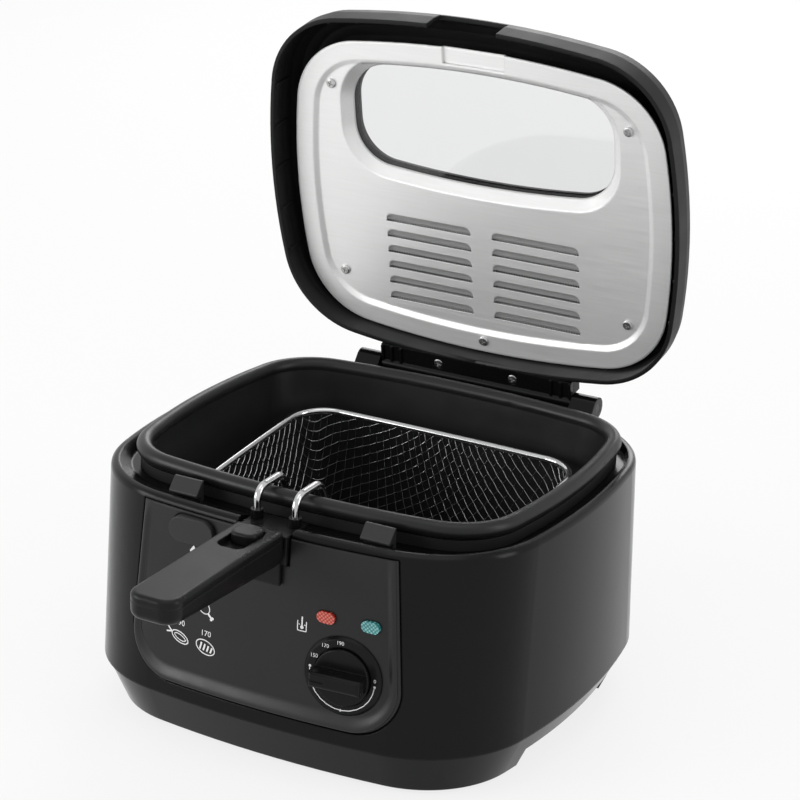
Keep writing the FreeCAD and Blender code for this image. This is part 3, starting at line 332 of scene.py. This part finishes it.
rim_black = finish_of(
    "rim_black_plastic", plastic_skin, colours=panel_tones,
    rough=(0.30, 0.40), grain=2600, relief=0.06, edge=0.0, gloss=0.34,
)
rim.data.materials.append(rim_black)
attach(rim, "base")


# Release button and lid catches
# Small satin black mouldings: the button slides in the panel, and the two catches stand
# on the shoulder where the lid's front edge comes down.
button_black = finish_of(
    "button_black_plastic", plastic_skin,
    colours=((0.019, 0.019, 0.0195), (0.024, 0.024, 0.0245)),
    rough=(0.30, 0.38), grain=2600, relief=0.05, edge=1.2 * mm, gloss=0.3,
)
dress(button_black, "release_button", "lid_catches")


# Printed signs on the panel
# White pad-printed ink: a pointer under the release button, four food signs with their
# temperatures, and a thermometer beside the dial. All are drawn in millimetres.
white_ink = finish_of(
    "white_ink", plastic_skin,
    colours=((0.75, 0.75, 0.75), (0.82, 0.82, 0.82)),
    rough=(0.5, 0.6), grain=3000, relief=0.05, edge=0.0,
)
ink_lift = 0.12 * mm
round_steps = 28
printed = []


def ink_dot(x, z, wide):
    clear_selection()
    bpy.ops.mesh.primitive_circle_add(vertices=round_steps, radius=0.5, fill_type="NGON")
    dot = bpy.context.object
    dot.data.transform(
        Matrix.Translation((x * mm, z * mm, 0)) @ Matrix.Diagonal((wide * mm, wide * mm, 1, 1))
    )
    printed.append(dot)


def ink_bar(x0, z0, x1, z1, wide):
    clear_selection()
    bpy.ops.mesh.primitive_plane_add(size=1)
    bar = bpy.context.object
    run = Vector((x1 - x0, z1 - z0)) * mm
    bar.data.transform(
        Matrix.Translation(((x0 + x1) / 2 * mm, (z0 + z1) / 2 * mm, 0))
        @ Matrix.Rotation(math.atan2(run.y, run.x), 4, "Z")
        @ Matrix.Diagonal((run.length, wide * mm, 1, 1))
    )
    printed.append(bar)


def ink_ring(x, z, wide, high, line, turn=0.0, start=0.0, sweep=2 * math.pi):
    """An oval line, or the part of it that starts at one angle and sweeps another."""
    steps = max(8, int(round_steps * sweep / (2 * math.pi)))
    points = []
    for step in range(steps + 1):
        angle = start + sweep * step / steps
        oval = Vector((wide / 2 * math.cos(angle), high / 2 * math.sin(angle)))
        flat = Matrix.Rotation(turn, 2) @ oval
        points.append((x + flat.x, z + flat.y))
    for (ax, az), (bx, bz) in zip(points, points[1:]):
        ink_bar(ax, az, bx, bz, line)


def ink_figures(words, x, z, size):
    clear_selection()
    bpy.ops.object.text_add()
    figures = bpy.context.object
    figures.data.body = words
    figures.data.size = size * mm
    figures.data.align_x = "CENTER"
    figures.data.align_y = "CENTER"
    figures.data.resolution_u = 3
    bpy.ops.object.convert(target="MESH")
    figures = bpy.context.object
    figures.data.transform(Matrix.Translation((x * mm, z * mm, 0)))
    printed.append(figures)


def join_printed(name):
    """All that is printed so far, as one piece."""
    clear_selection()
    for piece in printed:
        piece.select_set(True)
    bpy.context.view_layer.objects.active = printed[0]
    bpy.ops.object.join()
    sheet = bpy.context.object
    sheet.name = name
    sheet.data.materials.clear()
    sheet.data.materials.append(white_ink)
    printed.clear()
    return sheet


# Pointer
pointer_x, pointer_z = -41.6, 112.6
ink_bar(pointer_x - 2.3, pointer_z - 0.5, pointer_x + 2.3, pointer_z - 0.5, 0.7)
for row in range(6):
    reach = 2.1 - 0.35 * row
    level = pointer_z + 0.5 * row
    ink_bar(pointer_x - reach, level, pointer_x + reach, level, 0.55)
# Drumstick
sign_figures = 4.4
ink_ring(-33.6, 83.4, 8.0, 6.2, 0.55, turn=-0.7)
ink_bar(-31.0, 80.6, -28.6, 78.2, 1.1)
ink_dot(-28.0, 78.4, 1.6)
ink_dot(-28.8, 77.6, 1.6)
ink_figures("180", -32.0, 89.4, sign_figures)
# Fish
ink_ring(-48.2, 62.6, 11.0, 5.6, 0.6, turn=-0.35)
ink_ring(-48.2, 62.6, 7.4, 2.8, 0.5, turn=-0.35)
ink_bar(-53.6, 64.6, -56.2, 67.2, 0.8)
ink_bar(-53.6, 64.6, -57.0, 63.8, 0.8)
ink_dot(-44.6, 61.6, 1.0)
ink_figures("190", -48.6, 70.6, sign_figures)
# Cut potatoes
heap_x = -31.8
ink_ring(heap_x, 61.4, 12.0, 7.4, 0.6, turn=-0.3)
for cut in range(4):
    foot_x = heap_x - 3.4 + 2.2 * cut
    ink_bar(foot_x, 59.8 - 0.3 * cut, foot_x + 1.0, 63.8 - 0.6 * cut, 1.0)
ink_figures("170", heap_x, 69.0, sign_figures)
# Ring of batter
ink_ring(-49.0, 84.6, 8.4, 8.4, 0.6)
ink_ring(-49.0, 84.6, 4.2, 4.2, 0.6)
ink_figures("170", -48.8, 91.8, sign_figures)
# Thermometer in a dish
dish_left, dish_right, dish_low, dish_high = 22.7, 27.7, 85.2, 90.6
stem_x = 25.2
for x0, z0, x1, z1 in (
    (dish_left, dish_high, dish_left, dish_low),
    (dish_left, dish_low, dish_right, dish_low),
    (dish_right, dish_low, dish_right, dish_high),
):
    ink_bar(x0, z0, x1, z1, 0.5)
ink_bar(stem_x, 86.8, stem_x, 93.0, 0.8)
ink_dot(stem_x, 87.2, 1.9)
for x in (23.2, 26.4):
    ink_bar(x, 88.6, x + 0.9, 88.6, 0.4)
signs = join_printed("panel_signs")
for vertex in signs.data.vertices:
    x, z = vertex.co.xy
    vertex.co = (x, panel_face(x, z) - ink_lift, z)
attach(signs, "base")


# Dial
# A fixed ring with the temperature scale, and a knob with a bar grip on the
# thermostat's shaft. Both are satin black mouldings, the scale printed in white.
dial_black = finish_of(
    "dial_black_plastic", plastic_skin,
    colours=((0.004, 0.004, 0.0043), (0.006, 0.006, 0.0064)),
    rough=(0.24, 0.32), grain=2600, relief=0.04, edge=0.7 * mm, gloss=0.14,
)
dress(dial_black, "dial_bezel", "dial_knob")
dial_centre = Vector((0.049678, body_y - 0.120044, 0.065852))
dial_out = Vector((0.08687, -0.99452, 0.05814)).normalized()
dial_across = Vector((0, 0, 1)).cross(dial_out).normalized()
dial_up = dial_out.cross(dial_across)
dial_turn = Matrix((dial_across, dial_up, dial_out)).transposed().to_4x4()
dial_frame = Matrix.Translation(dial_centre) @ dial_turn
scale_r, scale_line, scale_figures = 18.2, 0.45, 2.9
ring_face = 1.4 * mm


def on_scale(angle):
    """A place on the dial's scale, by its angle in degrees."""
    return scale_r * math.cos(math.radians(angle)), scale_r * math.sin(math.radians(angle))


for first, swept in ((-157, 152), (172, 7)):
    ink_ring(
        0, 0, 2 * scale_r, 2 * scale_r, scale_line,
        start=math.radians(first), sweep=math.radians(swept),
    )
for angle, size in ((-5, 1.3), (-90, 1.3), (172, 1.5)):
    ink_dot(*on_scale(angle), size)
for words, angle in (("0", 5), ("150", 152), ("170", 124), ("190", 96)):
    ink_figures(words, *on_scale(angle), scale_figures)
dial_scale = join_printed("dial_scale")
dial_scale.data.transform(dial_frame @ Matrix.Translation((0, 0, ring_face + ink_lift)))
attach(dial_scale, "base")


# Lamps
# Clear lenses with a fine cross-hatch moulded into the back, one red and one green,
# pushed into the panel from the front.
def cells(tree, turn, scale, uneven):
    """How far a place is from the middle of its cell, in a pattern turned to the piece."""
    turned = tree.nodes.new("ShaderNodeMapping")
    turned.inputs["Rotation"].default_value = turn
    tree.links.new(own_place(tree), turned.inputs["Vector"])
    pattern = tree.nodes.new("ShaderNodeTexVoronoi")
    pattern.inputs["Scale"].default_value = scale
    pattern.inputs["Randomness"].default_value = uneven
    tree.links.new(turned.outputs["Vector"], pattern.inputs["Vector"])
    return pattern.outputs["Distance"]


def lens_of(name, deep, pale):
    """A clear lens, pale in the middle of each cell of its hatch and deep at the edges."""
    material, tree, shader = new_finish(name)
    shader["Roughness"].default_value = 0.18
    shader["Coat Weight"].default_value = 0.4
    hatch = cells(tree, (0, math.radians(45), 0), scale=640, uneven=0.15)
    share = ranged(tree, hatch, (0.2, 0.5), (0, 1))
    tree.links.new(blend(tree, share, (*pale, 1), (*deep, 1)), shader["Base Color"])
    bump = tree.nodes.new("ShaderNodeBump")
    bump.inputs["Strength"].default_value = 0.3
    bump.inputs["Distance"].default_value = 0.2 * mm
    tree.links.new(hatch, bump.inputs["Height"])
    tree.links.new(bump.outputs["Normal"], shader["Normal"])
    return material


red_lens = lens_of("red_lens", deep=(0.34, 0.02, 0.012), pale=(0.80, 0.17, 0.11))
green_lens = lens_of("green_lens", deep=(0.02, 0.19, 0.20), pale=(0.26, 0.62, 0.60))
dress(red_lens, "power_lens")
dress(green_lens, "ready_lens")


# Lid liner
# Satin aluminium sheet, stamped with a raised border and a funnel round the window. The
# twelve louvres are pressed in as shallow scoops, each with a slot along its lower edge.
# The shade in the scoops is painted into the sheet's colour as a darker grey.
def reckon(tree, operation, *values):
    """The result of a sum on numbers or on other nodes' outputs."""
    node = tree.nodes.new("ShaderNodeMath")
    node.operation = operation
    for socket, value in zip(node.inputs, values):
        feed(tree, socket, value)
    return node.outputs["Value"]


hinge_high = 140.1 * mm
lid_opening = math.radians(80.1)
lid_turn = (
    Matrix.Translation((0, body_y + hinge_behind, hinge_high))
    @ Matrix.Rotation(-lid_opening, 4, "X")
    @ Matrix.Translation((0, -hinge_behind, -hinge_high))
)
field = 152.0
satin_aluminium = finish_of(
    "satin_aluminium", metal_skin,
    colours=((0.82, 0.82, 0.815), (0.90, 0.90, 0.895)),
    rough=(0.38, 0.46), grain=900, relief=0.03, edge=1.6 * mm, metal=0.55,
)
tree = satin_aluminium.node_tree
place = own_place(tree)
axes = tree.nodes.new("ShaderNodeSeparateXYZ")
tree.links.new(place, axes.inputs["Vector"])
louvres_mid, louvres_half_high, louvres_half_wide = 205.5 * mm, 31.5 * mm, 64 * mm
among = reckon(tree, "COMPARE", axes.outputs["Z"], louvres_mid, louvres_half_high)
between = reckon(tree, "COMPARE", axes.outputs["X"], 0.0, louvres_half_wide)
louvred = reckon(tree, "MULTIPLY", among, between)
wide_fold, tight_fold = 1.8 * mm, 0.25 * mm
fold = ranged(tree, louvred, (0, 1), (wide_fold, tight_fold))
tree.links.new(fold, tree.nodes["Bevel"].inputs["Radius"])
# Painted shade: inside the louvre area, where the sheet lies deeper than the field, its colour
# is mixed towards dark grey to stand for the shade in the scoops.
inwards = lid_turn.to_3x3() @ Vector((0, 0, 1))
field_at = inwards.dot(lid_turn @ Vector((0, 0, field * mm)))
sunk_by = tree.nodes.new("ShaderNodeVectorMath")
sunk_by.operation = "DOT_PRODUCT"
sunk_by.inputs[1].default_value = inwards
tree.links.new(place, sunk_by.inputs[0])
painted_shade_depths = (field_at + 0.05 * mm, field_at + 0.5 * mm)
shade = ranged(tree, sunk_by.outputs["Value"], painted_shade_depths, (0, 1))
painted_shade_share = reckon(tree, "MULTIPLY", shade, louvred)
sheet_colour = tree.nodes["Group"].outputs["Color"]
painted_louvre_shade = blend(tree, painted_shade_share, sheet_colour, (0.46, 0.46, 0.46, 1))
tree.links.new(painted_louvre_shade, tree.nodes["Principled BSDF"].inputs["Base Color"])


def merged_copy(name, node):
    """A copy of a node's mesh with its loose triangles joined."""
    piece = bpy.data.objects.new(name, nodes[node].data.copy())
    bpy.context.collection.objects.link(piece)
    clear_selection()
    piece.select_set(True)
    bpy.context.view_layer.objects.active = piece
    bpy.ops.object.mode_set(mode="EDIT")
    bpy.ops.mesh.select_all(action="SELECT")
    bpy.ops.mesh.remove_doubles(threshold=2e-6)
    bpy.ops.object.mode_set(mode="OBJECT")
    bpy.ops.mesh.customdata_custom_splitnormals_clear()
    return piece


def cut_away(target, tool):
    """Cuts one mesh out of another and takes the tool away."""
    clear_selection()
    target.select_set(True)
    bpy.context.view_layer.objects.active = target
    cut = target.modifiers.new("cut", "BOOLEAN")
    cut.object = tool
    cut.operation = "DIFFERENCE"
    cut.solver = "EXACT"
    bpy.ops.object.modifier_apply(modifier="cut")
    bpy.data.objects.remove(tool)


def cut_box(target, low, high):
    """Cuts a box, given by two corners in millimetres, out of a piece."""
    clear_selection()
    bpy.ops.mesh.primitive_cube_add(size=1)
    tool = bpy.context.object
    middle = [(one + other) / 2 * mm for one, other in zip(low, high)]
    reach = [(other - one) * mm for one, other in zip(low, high)]
    tool.data.transform(Matrix.Translation(middle) @ Matrix.Diagonal((*reach, 1)))
    cut_away(target, tool)


louvre_rows, louvre_first, louvre_pitch = 6, 31.3, 9.98
louvre_inner, louvre_outer = 6.7, 61.1
louvre_length = louvre_outer - louvre_inner
slot_above, slot_below = 3.4, 1.9
scoop_high, scoop_depth, scoop_sheet = 4.8, 1.9, 0.1
end_round, end_delay, hollow = 4.2, 0.8, 1.3
hood_side, hood_margin, hood_height = 63, 4, 6
field_clear = 0.02
louvre_last = louvre_first + (louvre_rows - 1) * louvre_pitch
liner = merged_copy("stamped_liner", "lid_liner")
liner.data.transform(lid_turn.inverted())
cut_box(
    liner,
    (-hood_side, louvre_first - hood_margin, field - hood_height),
    (hood_side, louvre_last + hood_margin, field + field_clear),
)
scoops = []
for row in range(louvre_rows):
    y = louvre_first + row * louvre_pitch
    for side in (-1, 1):
        left, right = sorted((side * louvre_inner, side * louvre_outer))
        cut_box(liner, (left, y - slot_above, field - 2), (right, y + slot_below, field + 4))
        clear_selection()
        bpy.ops.mesh.primitive_grid_add(x_subdivisions=40, y_subdivisions=12, size=1)
        scoop = bpy.context.object
        for vertex in scoop.data.vertices:
            across = 0.5 - 0.5 * math.cos(math.pi * (vertex.co.x + 0.5))
            down = vertex.co.y + 0.5
            from_end = min(across, 1 - across) * louvre_length
            start = 1 - math.sqrt(1 - (1 - min(1, from_end / end_round)) ** 2)
            sunk = 1 - (1 - max(0, down - end_delay * start)) ** hollow
            vertex.co = (
                (left + across * louvre_length) * mm,
                (y - slot_above + down * scoop_high) * mm,
                (field + field_clear + scoop_depth * sunk) * mm,
            )
        scoops.append(scoop)
clear_selection()
for scoop in scoops:
    scoop.select_set(True)
bpy.context.view_layer.objects.active = scoops[-1]
bpy.ops.object.join()
sheet = bpy.context.object.modifiers.new("sheet", "SOLIDIFY")
sheet.thickness = scoop_sheet * mm
sheet.offset = 1
bpy.ops.object.modifier_apply(modifier="sheet")
liner.select_set(True)
bpy.context.view_layer.objects.active = liner
bpy.ops.object.join()
liner.data.transform(lid_turn)
bpy.ops.object.shade_smooth_by_angle(angle=math.radians(9))
liner.data.materials.clear()
liner.data.materials.append(satin_aluminium)
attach(liner, "lid")
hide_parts("lid_liner")


# Steam filter
# A fine perforated steel sheet behind the louvres, laid in the lid before the liner
# closes it.
filter_steel, tree, shader = new_finish("perforated_steel")
shader["Metallic"].default_value = 1.0
shader["Roughness"].default_value = 0.4
holes = cells(tree, (lid_opening, 0, 0), scale=620, uneven=0.0)
steel_share = ranged(tree, holes, (0.30, 0.36), (0, 1))
punched = blend(tree, steel_share, (0.004, 0.004, 0.004, 1), (0.85, 0.85, 0.85, 1))
tree.links.new(punched, shader["Base Color"])
sheet_thick, near_side = 0.45 * mm, 0.8 * mm
punched_sheet = merged_copy("punched_sheet", "steam_filter")
punched_sheet.data.transform(lid_turn.inverted())
far_face = max(vertex.co.z for vertex in punched_sheet.data.vertices)
for vertex in punched_sheet.data.vertices:
    if vertex.co.z < far_face - near_side:
        vertex.co.z = far_face - sheet_thick
punched_sheet.data.transform(lid_turn)
punched_sheet.data.materials.clear()
punched_sheet.data.materials.append(filter_steel)
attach(punched_sheet, "lid")
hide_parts("steam_filter")


# Screws
# Zinc-plated pan-head screws with a cross recess: five in the liner, two in the hinge
# plate and one under each foot. One of each size is modelled and copied.
def pan_screw(radius, height, shank, length):
    """A screw on its head's seat at the origin, head downwards and shank up, in metres."""
    rounding = height * 0.55
    recess_turn = 20
    recess_size = (radius * 1.15, radius * 0.26, height * 1.1)
    clear_selection()
    bpy.ops.mesh.primitive_cylinder_add(
        vertices=32, radius=radius, depth=height, location=(0, 0, -height / 2)
    )
    head = bpy.context.object
    bpy.ops.object.transform_apply(location=True)
    bpy.ops.object.mode_set(mode="EDIT")
    bpy.ops.mesh.select_all(action="DESELECT")
    bpy.ops.object.mode_set(mode="OBJECT")
    for edge in head.data.edges:
        ends = [head.data.vertices[index].co.z for index in edge.vertices]
        edge.select = max(ends) < -height * 0.9
    bpy.ops.object.mode_set(mode="EDIT")
    bpy.ops.mesh.select_mode(type="EDGE")
    bpy.ops.mesh.bevel(offset=rounding, segments=4, profile=0.5)
    bpy.ops.object.mode_set(mode="OBJECT")
    for arm in (0, 90):
        clear_selection()
        bpy.ops.mesh.primitive_cube_add(size=1, location=(0, 0, -height))
        cutter = bpy.context.object
        cutter.data.transform(
            Matrix.Rotation(math.radians(arm + recess_turn), 4, "Z")
            @ Matrix.Diagonal((*recess_size, 1))
        )
        cut_away(head, cutter)
    clear_selection()
    bpy.ops.mesh.primitive_cylinder_add(
        vertices=16, radius=shank, depth=length, location=(0, 0, length / 2)
    )
    stem = bpy.context.object
    bpy.ops.object.transform_apply(location=True)
    stem.select_set(True)
    head.select_set(True)
    bpy.context.view_layer.objects.active = head
    bpy.ops.object.join()
    bpy.ops.object.shade_smooth_by_angle(angle=math.radians(35))
    return head


zinc_plate = finish_of(
    "zinc_plate", metal_skin,
    colours=((0.46, 0.46, 0.46), (0.58, 0.58, 0.57)),
    rough=(0.26, 0.36), grain=1500, relief=0.04, edge=0.0, metal=1.0,
)


def screw_set(name, node, body, model, places):
    """Copies of a screw at its places, as one piece in place of a CAD node."""
    copies = []
    for place in places:
        screw = bpy.data.objects.new(name, model.data.copy())
        bpy.context.collection.objects.link(screw)
        screw.data.transform(place)
        copies.append(screw)
    clear_selection()
    for screw in copies:
        screw.select_set(True)
    bpy.context.view_layer.objects.active = copies[0]
    bpy.ops.object.join()
    joined = bpy.context.object
    joined.name = name
    joined.data.materials.clear()
    joined.data.materials.append(zinc_plate)
    bpy.data.objects.remove(model)
    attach(joined, body)
    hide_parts(node)


liner_places = []
for x, y, z in (
    (0, 98.4, 150.5),
    (-92.1, -47.7, field), (92.1, -47.7, field),
    (-90.7, 70.0, field), (90.7, 70.0, field),
):
    liner_places.append(lid_turn @ Matrix.Translation((x * mm, y * mm, z * mm)))
liner_screw = pan_screw(radius=2.9 * mm, height=1.4 * mm, shank=1.4 * mm, length=7.9 * mm)
screw_set("liner_screw_set", "liner_screws", "lid", liner_screw, liner_places)
hinge_places = []
for x in (-24, 24):
    hinge_places.append(lid_turn @ Matrix.Translation((x * mm, 112.6 * mm, 139.5 * mm)))
hinge_screw = pan_screw(radius=3.0 * mm, height=1.45 * mm, shank=1.4 * mm, length=6.4 * mm)
screw_set("hinge_screw_set", "hinge_screws", "lid", hinge_screw, hinge_places)
foot_places = []
for x in (-87, 87):
    for y in (-84, 84):
        foot_places.append(Matrix.Translation((x * mm, body_y + y * mm, 1.6 * mm)))
foot_screw = pan_screw(radius=3.5 * mm, height=0.8 * mm, shank=1.6 * mm, length=13 * mm)
screw_set("foot_screw_set", "foot_screws", "base", foot_screw, foot_places)


# Window
# A pane of clear, slightly grey heat-proof glass at the end of the funnel, held
# between the liner and its seal.
pane, tree, shader = new_finish("window_glass")
shader["Transmission Weight"].default_value = 1.0
shader["IOR"].default_value = 1.46
film = mottled(tree, own_place(tree), scale=25, detail=2)
tree.links.new(ranged(tree, film, (0, 1), (0.01, 0.04)), shader["Roughness"])
grey = blend(tree, film, (0.80, 0.805, 0.81, 1), (0.82, 0.825, 0.825, 1))
tree.links.new(grey, shader["Base Color"])
dress(pane, "lid_window")


# Hinge plate
# A black moulding that closes the lid's rear edge over the hinge pin, held to the lid
# by two screws.
dress(dial_black, "hinge_plate")


# Basket net
# Fine steel wire woven square, cut on the slant and pressed into a tub; its edge is
# folded round the rim wire. Every wire passes over and under the ones it crosses.
wire_pitch, wire_radius = 5.4 * mm, 0.28 * mm
wire_sway = wire_radius * 0.9
basket_behind, basket_tilt = 10.0 * mm, math.radians(4.3)
net_floor, net_top = 60.6 * mm, 115.7 * mm
net_heel, wall_lean = 5.0 * mm, 8.0 * mm
floor_half = (72.35 * mm, 53.05 * mm, 6.5 * mm)
brim_half = (86.6 * mm, 67.3 * mm, 20.3 * mm)


def reach_of(angle, half_x, half_y, corner):
    """How far a rounded rectangle's edge is from its middle, along an angle."""
    ax, ay = abs(math.cos(angle)), abs(math.sin(angle))
    if ax > 1e-9 and half_x / ax * ay <= half_y - corner:
        return half_x / ax
    if ay > 1e-9 and half_y / ay * ax <= half_x - corner:
        return half_y / ay
    cx, cy = half_x - corner, half_y - corner
    along = ax * cx + ay * cy
    return along + math.sqrt(max(0.0, along * along - cx * cx - cy * cy + corner * corner))


def pressed(u, v, lift):
    """A point of the flat net, pressed into the tub; None beyond its rim."""
    distance = math.hypot(u, v)
    angle = math.atan2(v, u)
    flat = reach_of(angle, *floor_half)
    if distance <= flat:
        return Vector((u, v, net_floor + lift))
    brim = reach_of(angle, *brim_half)
    up = distance - flat
    bend = net_heel * math.pi / 2
    rise = net_top - net_floor
    if up < bend:
        share = up / bend * math.pi / 2
        height = net_heel * (1 - math.cos(share))
        spread = net_heel * math.sin(share)
    else:
        height = net_heel + up - bend
        spread = net_heel + (up - bend) * wall_lean / (rise - net_heel)
    if height > rise:
        return None
    radius = flat + (brim - flat) * spread / (net_heel + wall_lean) - lift
    return Vector((radius * math.cos(angle), radius * math.sin(angle), net_floor + height))


net_curve = bpy.data.curves.new("net_wires", "CURVE")
net_curve.dimensions = "3D"
net_curve.bevel_depth = wire_radius
net_curve.bevel_resolution = 0
basket_turn = (
    Matrix.Translation((0, body_y + basket_behind, net_top))
    @ Matrix.Rotation(basket_tilt, 4, "X")
    @ Matrix.Translation((0, 0, -net_top))
)
slant = math.radians(32)
half_count = 32
for family in (0, 1):
    run = Vector((math.cos(slant), math.sin(slant)))
    side = Vector((-math.sin(slant), math.cos(slant)))
    if family:
        run, side = side, run
    for wire in range(-half_count, half_count + 1):
        chain = []
        for step in range(-2 * half_count, 2 * half_count + 1):
            spot = run * (step * wire_pitch / 2) + side * (wire * wire_pitch)
            lift = 0.0
            if step % 2 == 0:
                lift = wire_sway if (step // 2 + wire + family) % 2 else -wire_sway
            point = pressed(spot.x, spot.y, lift)
            if point is not None:
                chain.append(point)
            if (point is None or step == 2 * half_count) and chain:
                if len(chain) > 2:
                    spline = net_curve.splines.new("POLY")
                    spline.points.add(len(chain) - 1)
                    for knot, place in zip(spline.points, chain):
                        knot.co = (*(basket_turn @ place), 1)
                chain = []
net = bpy.data.objects.new("basket_net", net_curve)
bpy.context.collection.objects.link(net)
clear_selection()
net.select_set(True)
bpy.context.view_layer.objects.active = net
bpy.ops.object.convert(target="MESH")
net = bpy.context.object
bright_wire = finish_of(
    "bright_plated_wire", metal_skin,
    colours=((0.30, 0.30, 0.30), (0.40, 0.40, 0.40)),
    rough=(0.12, 0.22), grain=1200, relief=0.02, edge=0.0, metal=1.0,
)
net.data.materials.clear()
net.data.materials.append(bright_wire)
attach(net, "basket")
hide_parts("basket_mesh")


# Basket rim, hooks and collars
# Thick steel wire bent cold and spot-welded to the net, then bright plated; black
# collars seat the hooks in the handle's bracket.
plated = finish_of(
    "bright_plated_rod", metal_skin,
    colours=((0.44, 0.44, 0.445), (0.56, 0.56, 0.565)),
    rough=(0.06, 0.14), grain=700, relief=0.02, edge=0.0, metal=1.0,
)
dress(plated, "basket_rim", "hook_wires")
dress(dial_black, "wire_collars")


# Handle and bracket
# Two satin black shells closed along a line below the top, the lock's slider in its
# pocket, and the bracket that drops into the body's notch.
handle_black = finish_of(
    "handle_black_plastic", plastic_skin,
    colours=((0.006, 0.006, 0.0064), (0.009, 0.009, 0.0094)),
    rough=(0.26, 0.36), grain=2200, relief=0.05, edge=1.4 * mm, gloss=0.15,
)
dress(handle_black, "handle_bracket", "handle_upper_shell", "handle_slider")
split_line = 132.8
root_at, root_low, handle_fall = 122.0, 119.6, 2.6 / 101.0
slim_from, slim_over, slim_low = 138.0, 14.0, 124.0
rounding, more_round = 3.2, 1.0
grip = merged_copy("handle_grip", "handle_lower_shell")
for vertex in grip.data.vertices:
    along = -(vertex.co.y - body_y) / mm
    low = root_low - handle_fall * (along - root_at)
    slim = min(1, max(0, (along - slim_from) / slim_over))
    slim = slim * slim * (3 - 2 * slim)
    target = low + (slim_low - low) * slim
    wide_round = rounding + more_round * slim
    rise = vertex.co.z / mm - low
    if rise <= rounding:
        lifted = target + rise * wide_round / rounding
    else:
        share = (rise - rounding) / (split_line - low - rounding)
        lifted = target + wide_round + share * (split_line - target - wide_round)
    vertex.co.z = lifted * mm
bpy.ops.object.shade_smooth_by_angle(angle=math.radians(32))
grip.data.materials.clear()
grip.data.materials.append(handle_black)
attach(grip, "handle")
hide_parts("handle_lower_shell")


# Floor, light and camera
# A pale studio floor, four soft boxes and a pale room; the camera stands where the
# photograph was taken.
def seen_plainly(tree):
    """1 where the camera sees a surface, also in metal and through glass, and else 0."""
    path = tree.nodes.new("ShaderNodeLightPath").outputs
    direct = reckon(tree, "MAXIMUM", path["Is Camera Ray"], path["Is Transmission Ray"])
    return reckon(tree, "MAXIMUM", direct, path["Is Glossy Ray"])


floor_glow = 0.8
clear_selection()
bpy.ops.mesh.primitive_plane_add(size=14, location=(0, 2, 0))
floor = bpy.context.object
floor.name = "studio_floor"
paper, tree, shader = new_finish("studio_paper")
shader["Base Color"].default_value = (0.86, 0.86, 0.86, 1)
shader["Roughness"].default_value = 0.9
shader["Specular IOR Level"].default_value = 0.1
glow = tree.nodes.new("ShaderNodeEmission")
glow.inputs["Color"].default_value = (1, 1, 1, 1)
mixed = tree.nodes.new("ShaderNodeMixShader")
glow_share = reckon(tree, "MULTIPLY", seen_plainly(tree), floor_glow)
tree.links.new(glow_share, mixed.inputs["Fac"])
tree.links.new(tree.nodes["Principled BSDF"].outputs["BSDF"], mixed.inputs[1])
tree.links.new(glow.outputs["Emission"], mixed.inputs[2])
tree.links.new(mixed.outputs["Shader"], tree.nodes["Material Output"].inputs["Surface"])
floor.data.materials.append(paper)

room_light, room_seen = 0.55, 1.0
world = bpy.data.worlds.new("studio_room")
bpy.context.scene.world = world
world.use_nodes = True
tree = world.node_tree
room = tree.nodes["Background"]
room.inputs["Color"].default_value = (1, 1, 1, 1)
level = ranged(tree, seen_plainly(tree), (0, 1), (room_light, room_seen))
tree.links.new(level, room.inputs["Strength"])


def soft_box(name, place, aim, wide, high, power):
    lamp = bpy.data.lights.new(name, "AREA")
    lamp.shape = "RECTANGLE"
    lamp.size = wide
    lamp.size_y = high
    lamp.energy = power
    stand = bpy.data.objects.new(name, lamp)
    bpy.context.collection.objects.link(stand)
    stand.location = place
    stand.rotation_euler = (Vector(aim) - Vector(place)).to_track_quat("-Z", "Y").to_euler()


soft_box("left_box", (-1.4, -1.3, 0.6), aim=(0, 0, 0.2), wide=1.3, high=0.8, power=20)
soft_box("top_box", (0.1, -0.3, 2.0), aim=(0, 0.05, 0.1), wide=1.6, high=1.2, power=6)
soft_box("right_box", (1.7, 0.1, 0.8), aim=(0, 0, 0.15), wide=0.5, high=1.4, power=8)
soft_box("rear_box", (-0.5, 1.9, 1.1), aim=(0, 0.1, 0.2), wide=1.2, high=1.0, power=14)

camera = bpy.data.cameras.new("studio_camera")
camera.sensor_width = 36
camera.lens = 116.9
camera.clip_end = 50
viewer = bpy.data.objects.new("studio_camera", camera)
bpy.context.collection.objects.link(viewer)
stand = Vector((0.6210, body_y - 1.1535, 0.6609))
aim = Vector((0.0106, body_y + 0.005288, 0.1676))
ahead = (aim - stand).normalized()
right = ahead.cross(Vector((0, 0, 1))).normalized()
above = right.cross(ahead)
lean = math.radians(2.0)
right_leaned = right * math.cos(lean) + above * math.sin(lean)
above_leaned = above * math.cos(lean) - right * math.sin(lean)
turned = Matrix((right_leaned, above_leaned, -ahead)).transposed().to_4x4()
viewer.matrix_world = Matrix.Translation(stand) @ turned
bpy.context.scene.camera = viewer
bpy.context.scene.view_settings.view_transform = "Standard"
